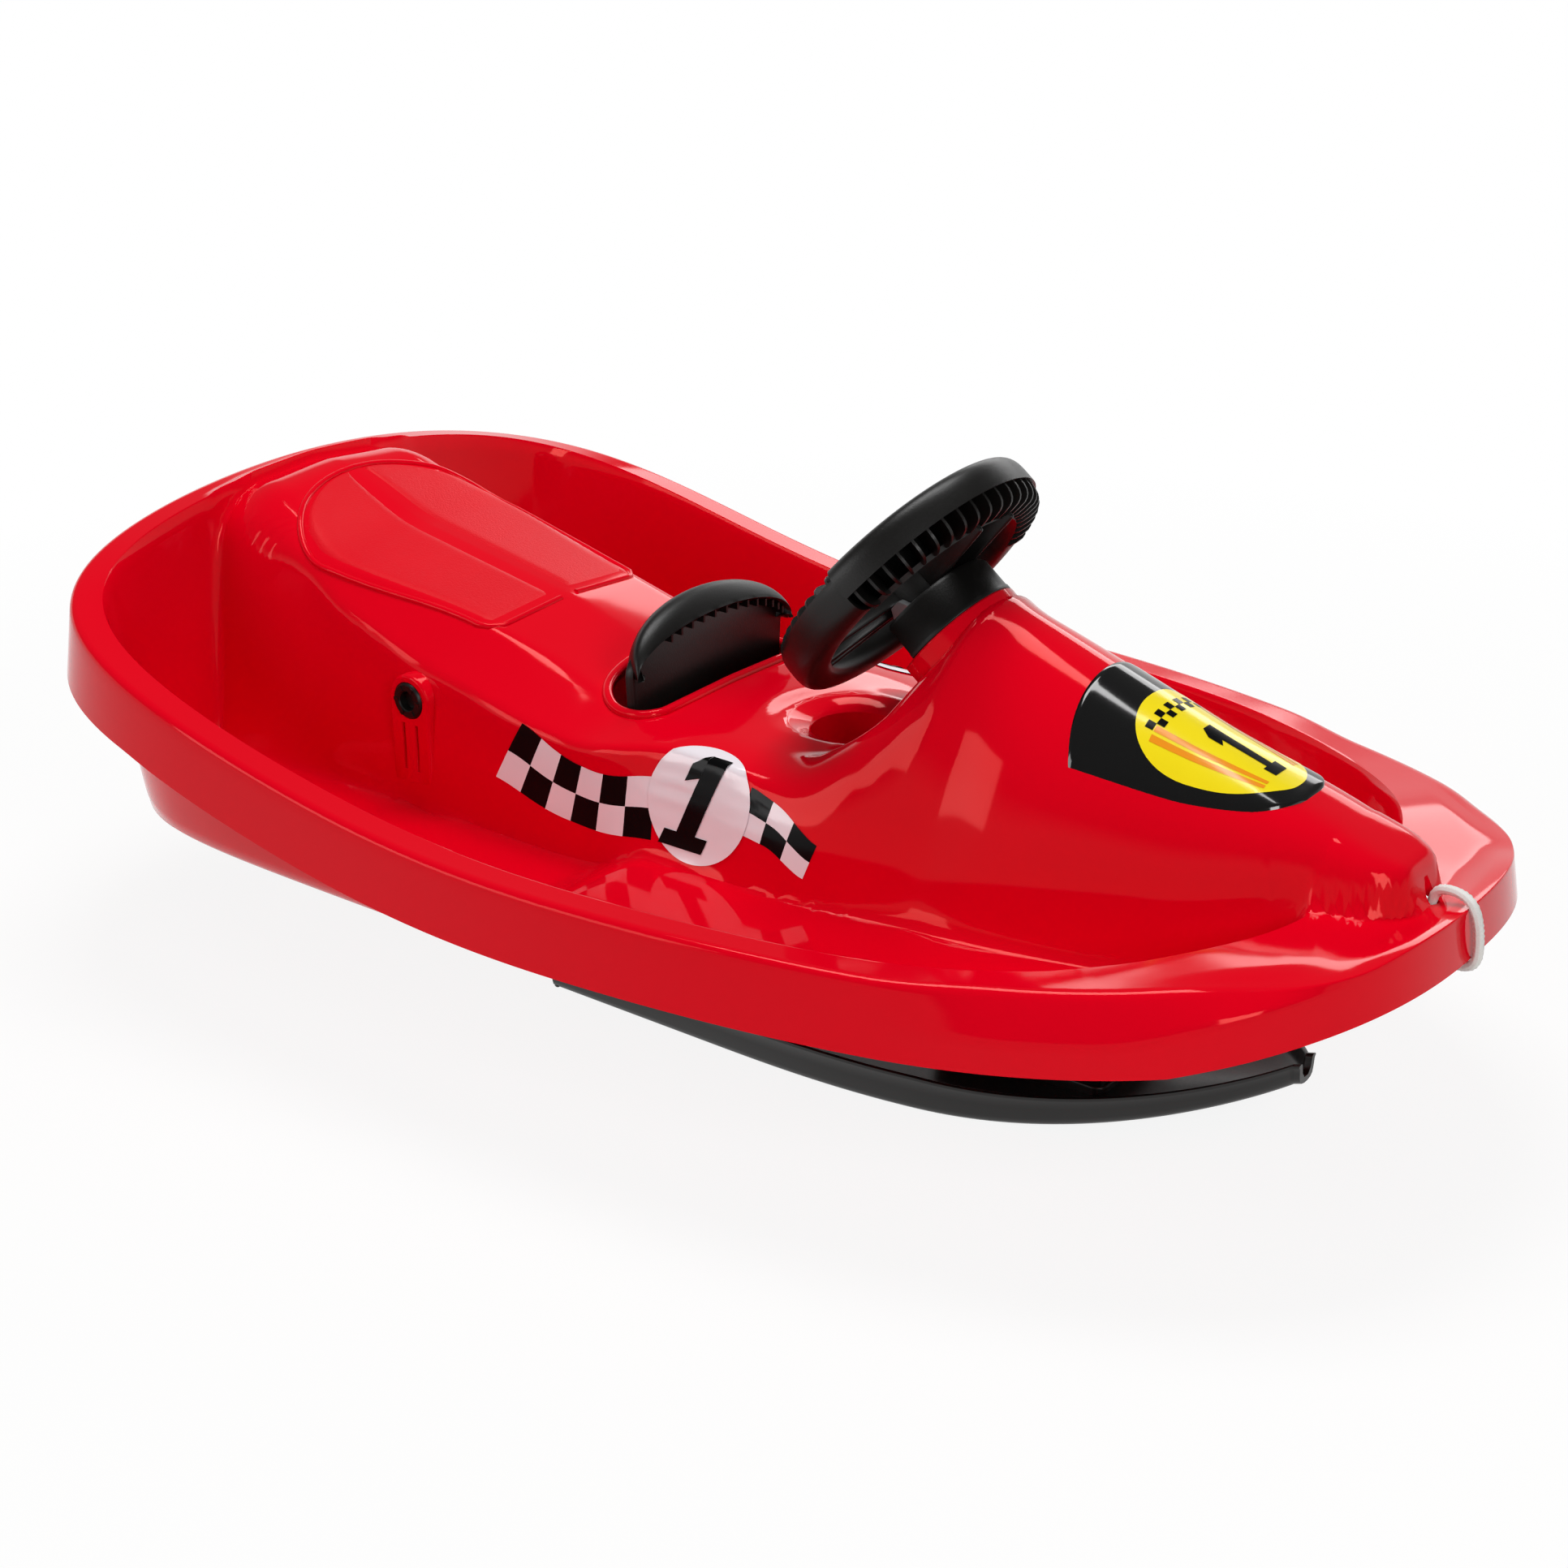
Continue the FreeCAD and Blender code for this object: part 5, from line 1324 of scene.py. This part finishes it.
numeral = [  # a plain slab figure one leaning forward, as four-cornered strokes
    [(-7, -23), (8, -23), (8, 31), (-7, 31)],
    [(-17, -32), (18, -32), (18, -22), (-17, -22)],
    [(-17, 11), (-7, 15), (-7, 31), (-17, 23)]]


def chequer(strip, i, j, side):
    # one cell of a waving ribbon, laid on the wall
    steps, lift, bend = 5, 0.3, 0.12
    rows = []
    for m in range(steps + 1):
        t = (i + m / steps) / strip["columns"]
        upEnds = (rounded(t, strip["top"], bend), rounded(t, strip["low"], bend))
        xEnds = (between(strip["topX"], t), between(strip["lowX"], t))
        shares = [(j + n / steps) / strip["rows"] for n in range(steps + 1)]
        rows.append([onSide(between(xEnds, r), between(upEnds, r), side, lift) for r in shares])
    return rows


def buildSideStickers():
    disc = dict(x=9, up=0, radius=40, lift=0.8, lean=0.3, ink=0.5)
    ribbons = [
        dict(columns=6, rows=2, topX=(-137, -29), lowX=(-158, -24),
             top=[(0, 22), (0.35, 6), (0.7, 2), (1, 9)],
             low=[(0, -20), (0.35, -34), (0.7, -37), (1, -32)]),
        dict(columns=3, rows=2, topX=(46, 101), lowX=(44, 95), top=[(0, 20), (0.5, 12), (1, -6)],
             low=[(0, -11), (0.5, -14), (1, -28)])]
    cells = []
    for strip in ribbons:
        cells += [(strip, i, j) for i in range(strip["columns"]) for j in range(strip["rows"])]
    for side, word in ((-1, "Right"), (1, "Left")):
        def onDisc(share, angle):
            r = disc["radius"] * share
            return onSide(disc["x"] + r * math.cos(angle), disc["up"] + r * math.sin(angle), side,
                          disc["lift"])

        def inked(p):
            x = disc["x"] - side * (p.x + disc["lean"] * p.y)
            return onSide(x, disc["up"] + p.y, side, disc["lift"] + disc["ink"])

        verts, faces = grid(rings(12, 72, onDisc), closeColumns=True)
        pieces = [newObject("numberDisc" + word, verts, faces, whiteVinyl, 60)]
        weld(pieces[0])
        strokes = [patch(corners, 14) for corners in numeral]
        verts, faces = gather([[[inked(p) for p in row] for row in rows] for rows in strokes])
        pieces.append(newObject("number" + word, verts, faces, blackVinyl, 60))
        for name, colour, odd in (("chequersWhite", whiteVinyl, 1), ("chequersBlack", blackVinyl, 0)):
            verts, faces = gather([chequer(*cell, side) for cell in cells if sum(cell[1:]) % 2 == odd])
            pieces.append(newObject(name + word, verts, faces, colour, 60))
        for piece in pieces:
            faceTowards(piece, Vector((0, side, 0)))
            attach(piece, "hull")


buildSideStickers()
print("side stickers laid")


# gloss black plate on the cowl with a plain racing sticker

badge = dict(rear=231, tip=372, half=62, bow=12, plate=1.6, sink=1.5)


def onBadge(t, s, lift):
    # t runs from the rear edge to the tip, s from side to side
    wide = (badge["half"] - 22 * t - 8 * t * t) * math.sqrt(max(1 - t ** 14, 0.0006))
    x = badge["rear"] + badge["bow"] * s ** 4
    x = x + (badge["tip"] - x) * t
    return Vector((x, s * wide, deckHeight(x, s * wide) + lift))


def badgePatch(along, across, lift, stepsAlong, stepsAcross=3):
    shares = [k / stepsAcross for k in range(stepsAcross + 1)]
    rows = [between(along, i / stepsAlong) for i in range(stepsAlong + 1)]
    return [[onBadge(t, between(across, share), lift) for share in shares] for t in rows]


def buildBadge():
    field = dict(t=0.58, reach=0.35, half=0.86, power=0.7, lift=0.25)
    stripe = dict(places=(-0.62, -0.5, 0.42, 0.54), wide=0.08, along=(0.34, 0.84), lift=0.42)
    strip = dict(columns=10, rows=2, s=-0.5, t=0.3, wide=0.1, tall=0.035, lift=0.5)
    number = dict(t=0.66, tall=0.0056, wide=0.0105, lift=0.55)
    top = badge["plate"]
    rows = []
    countT, countS = 60, 48
    for i in range(countT + 1):
        t = i / countT
        row = []
        for k in range(countS + 1):
            s = -1 + 2 * k / countS
            rim = min((1 - abs(s)) * 18, t * 40, (1 - t) * 30, 1)  # the plate's round edge
            row.append(onBadge(t, s, (top + badge["sink"]) * math.sqrt(rim * (2 - rim)) - badge["sink"]))
        rows.append(row)
    verts, faces = grid(rows)
    plate = newObject("nosePlate", verts, faces, blackAbs, 60)
    weld(plate, 0.005)
    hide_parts("nose_badge")
    pieces = [plate]

    def onField(share, angle):
        # squared-off round corners, on the front part of the plate
        p, q = [squarish(c, field["power"]) * share for c in (math.cos(angle), math.sin(angle))]
        return onBadge(field["t"] + field["reach"] * p, field["half"] * q, top + field["lift"])

    verts, faces = grid(rings(16, 96, onField), closeColumns=True)
    pieces.append(newObject("nosePanel", verts, faces, yellowVinyl, 60))
    verts, faces = gather([badgePatch(stripe["along"], (s, s + stripe["wide"]), top + stripe["lift"], 20)
                           for s in stripe["places"]])
    pieces.append(newObject("noseStripes", verts, faces, orangeVinyl, 60))
    cells = []
    for i in range(strip["columns"]):
        for j in range(strip["rows"]):
            if (i + j) % 2 == 0:
                s, t = strip["s"] + strip["wide"] * i, strip["t"] + strip["tall"] * j
                cells.append(badgePatch((t, t + strip["tall"]), (s, s + strip["wide"]),
                                        top + strip["lift"], 3))
    for corners in numeral:
        cells.append([[onBadge(number["t"] - number["tall"] * p.y, number["wide"] * p.x,
                               top + number["lift"])
                       for p in row] for row in patch(corners, 8)])
    verts, faces = gather(cells)
    pieces.append(newObject("noseNumber", verts, faces, blackVinyl, 60))
    for piece in pieces:
        faceTowards(piece, Vector((0, 0, 1)))
        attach(piece, "hull")


buildBadge()
print("nose plate made")


# bosses for the brake's cross axle, with their plugs

def buildBosses():
    boss = dict(radius=18, face=124, thick=34, foot=104, hole=13.2, reach=20)
    groove = dict(apart=6, wide=3, deep=4, low=124, top=158)
    plug = dict(sink=9.5, ribs=6, ribPlace=9.6, ribHeight=13.4, ribHalf=1.2, ribStretch=1.6)
    x0, z0, r = brakeAxle.x, brakeAxle.z, boss["radius"]
    along, lateral = Vector((1, 0, 0)), Vector((0, 1, 0))
    for side, word in ((-1, "Right"), (1, "Left")):
        turns = [math.pi * k / 24 for k in range(25)]
        ring = [(x0 + r * math.cos(a), z0 + r * math.sin(a)) for a in turns]
        ring += [(x0 - r, boss["foot"]), (x0 + r, boss["foot"])]
        faceAt = (boss["face"] - boss["thick"], boss["face"])
        rows = [[Vector((x, side * y, z)) for x, z in ring] for y in faceAt]
        pad = closedPiece("axleBoss" + word, rows, redPolyethylene)
        softEdges(pad, 2.5, 4, 40)
        settle(pad)
        face = side * boss["face"]
        hole = rod(boss["hole"], -boss["reach"], boss["reach"])
        tools = [lathe("plugTool", hole, redPolyethylene, Vector((x0, face, z0)), lateral, along, 40)]
        for shift in (-1, 1):
            x, half = x0 + shift * groove["apart"], groove["wide"] / 2
            low = (x - half, face - groove["deep"], groove["low"])
            high = (x + half, face + groove["deep"], groove["top"])
            tools.append(solidBox("slotTool", low, high, redPolyethylene))
        for tool in tools:
            carve(pad, tool)
        sharpen(pad, 35)
        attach(pad, "hull")
    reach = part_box("axle_plugs")[1].y / mm
    plugs = []
    for side in (-1, 1):
        out = Vector((0, side, 0))
        outer = Vector((x0, side * (reach - plug["sink"]), z0))
        plugs.append(lathe("plug", [
            (0, 8), (6.4, 8.4), (6.8, 13.2), (7.6, 14), (11.4, 14), (12.6, 12.8), (13, 11), (13, 0),
            (0, 0)],
            blackPolypropylene, outer, out, along, 48))
        h = plug["ribHalf"]
        for k in range(plug["ribs"]):
            a = 2 * math.pi * k / plug["ribs"]
            spoke = Vector((math.cos(a), 0, math.sin(a)))
            middle = outer + spoke * plug["ribPlace"] + out * plug["ribHeight"]
            rib = solidBox("plugRib", (-h, -h, -h), (h, h, h), blackPolypropylene)
            stretch = Matrix.Scale(plug["ribStretch"], 4, (1, 0, 0))
            rib.data.transform(Matrix.Translation(middle * mm) @ Matrix.Rotation(-a, 4, "Y") @ stretch)
            plugs.append(rib)
    piece = joinInto("axlePlugs", plugs)
    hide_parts("axle_plugs")
    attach(piece, "hull")


buildBosses()
print("axle bosses made")


# finishes of the nodes that keep their CAD shape

nodeFinish = [
    (zinc, ["bridge_screws", "king_pin", "king_pin_washer", "king_pin_nut", "bracket_screws",
            "rear_ski_screws", "wheel_bolt", "wheel_nut", "ski_mount_screws", "claw_screws", "crank_ball",
            "brake_axle", "brake_claw"]),
    (blackPowderCoat, ["steering_bridge", "rear_ski_bracket_rear", "rear_ski_bracket_front", "crank_arm"]),
    (blackPolypropylene, ["steering_column", "ski_mount", "rope_tie"]),
    (nylon, ["column_bush_upper", "column_bush_lower"])]
for material, names in nodeFinish:
    for name in names:
        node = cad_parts[name]
        node.data.materials.clear()
        node.data.materials.append(material)
print("finishes set")


# camera at the photograph's view, pale floor and soft studio light

def aim(obj, place, target):
    obj.location = Vector(place) * mm
    obj.rotation_mode = "QUATERNION"
    obj.rotation_quaternion = (Vector(target) - Vector(place)).normalized().to_track_quat("-Z", "Y")


def buildCamera():
    view = dict(place=(924.3, -1237.4, 788.0), target=(-10.2, 0, 129.4), lens=57.56, sensor=36)
    camera = bpy.data.cameras.new("camera")
    camera.lens = view["lens"]
    camera.sensor_width = view["sensor"]
    camera.clip_start, camera.clip_end = 0.05, 50
    holder = linkObject("camera", camera)
    aim(holder, view["place"], view["target"])
    bpy.context.scene.camera = holder


def seenDirectly(tree):
    # one for camera, transmission and glossy rays, none for the light that they bring
    path = addNode(tree, "ShaderNodeLightPath")
    direct = addNode(tree, "ShaderNodeMath", {"operation": "MAXIMUM"},
                     {0: path.outputs["Is Camera Ray"], 1: path.outputs["Is Transmission Ray"]})
    seen = addNode(tree, "ShaderNodeMath", {"operation": "MAXIMUM"},
                   {0: direct.outputs[0], 1: path.outputs["Is Glossy Ray"]})
    return seen.outputs[0]


def paperFloor():
    # white paper that fades to pure white away from the sled
    look = dict(colour="#F4F3F1", roughness=0.9, fade=(0.5, 1.3), white=(0.88, 1.0))
    material, tree, shader, place = startMaterial("paperFloor")
    shader.inputs["Base Color"].default_value = toLinear(look["colour"])
    shader.inputs["Roughness"].default_value = look["roughness"]
    white = addNode(tree, "ShaderNodeEmission", {"Color": (1, 1, 1, 1), "Strength": 1.0})
    spot = addNode(tree, "ShaderNodeNewGeometry")
    away = addNode(tree, "ShaderNodeVectorMath", {"operation": "LENGTH"}, {0: spot.outputs["Position"]})
    fade = addNode(tree, "ShaderNodeMapRange", {
        "From Min": look["fade"][0], "From Max": look["fade"][1], "To Min": look["white"][0],
        "To Max": look["white"][1]}, {"Value": away.outputs["Value"]})
    shade = addNode(tree, "ShaderNodeMixShader", None,
                    {0: fade.outputs["Result"], 1: shader.outputs[0], 2: white.outputs[0]})
    both = addNode(tree, "ShaderNodeMixShader", None,
                   {0: seenDirectly(tree), 1: shader.outputs[0], 2: shade.outputs[0]})
    tree.links.new(both.outputs[0], tree.nodes["Material Output"].inputs["Surface"])
    return material


def buildWorld():
    # dim studio with a white sweep behind the floor, seen low over the horizon
    look = dict(light=0.13, sweep=(0.28, 0.4))
    world = bpy.data.worlds.new("studio")
    world.use_nodes = True
    bpy.context.scene.world = world
    tree = world.node_tree
    base = tree.nodes["Background"]
    base.inputs["Color"].default_value = (1, 1, 1, 1)
    base.inputs["Strength"].default_value = look["light"]
    sweep = addNode(tree, "ShaderNodeBackground", {"Color": (1, 1, 1, 1), "Strength": 1.0})
    view = addNode(tree, "ShaderNodeTexCoord")
    height = addNode(tree, "ShaderNodeSeparateXYZ", None, {0: view.outputs["Generated"]})
    low = addNode(tree, "ShaderNodeMapRange", {
        "From Min": look["sweep"][0], "From Max": look["sweep"][1], "To Min": 1.0, "To Max": 0.0},
        {"Value": height.outputs["Z"]})
    share = addNode(tree, "ShaderNodeMath", {"operation": "MULTIPLY"},
                    {0: low.outputs["Result"], 1: seenDirectly(tree)})
    both = addNode(tree, "ShaderNodeMixShader", None,
                   {0: share.outputs[0], 1: base.outputs[0], 2: sweep.outputs[0]})
    tree.links.new(both.outputs[0], tree.nodes["World Output"].inputs["Surface"])


def buildLamps():
    lamps = [
        dict(name="skyBox", place=(-250, 250, 1900), target=(0, 0, 100), power=24, wide=1100, tall=700),
        dict(name="frontBox", place=(1500, -900, 1100), target=(100, 0, 120), power=13, wide=500, tall=800),
        dict(name="sideBox", place=(-900, -1700, 1000), target=(-100, 0, 120), power=9, wide=900, tall=700),
        dict(name="backBox", place=(-500, 2000, 1150), target=(0, 0, 150), power=9, wide=1500, tall=500)]
    for box in lamps:
        lamp = bpy.data.lights.new(box["name"], "AREA")
        lamp.shape = "RECTANGLE"
        lamp.size, lamp.size_y = box["wide"] * mm, box["tall"] * mm
        lamp.energy = box["power"]
        aim(linkObject(box["name"], lamp), box["place"], box["target"])


def buildStage():
    buildCamera()
    reach, level = 9000, -0.4
    corners = [(-reach, -reach, level), (reach, -reach, level), (reach, reach, level),
               (-reach, reach, level)]
    floor = newObject("floor", corners, [(0, 1, 2, 3)], paperFloor())
    buildWorld()
    buildLamps()
    bpy.context.scene.view_settings.view_transform = "Standard"


buildStage()
print("stage set")
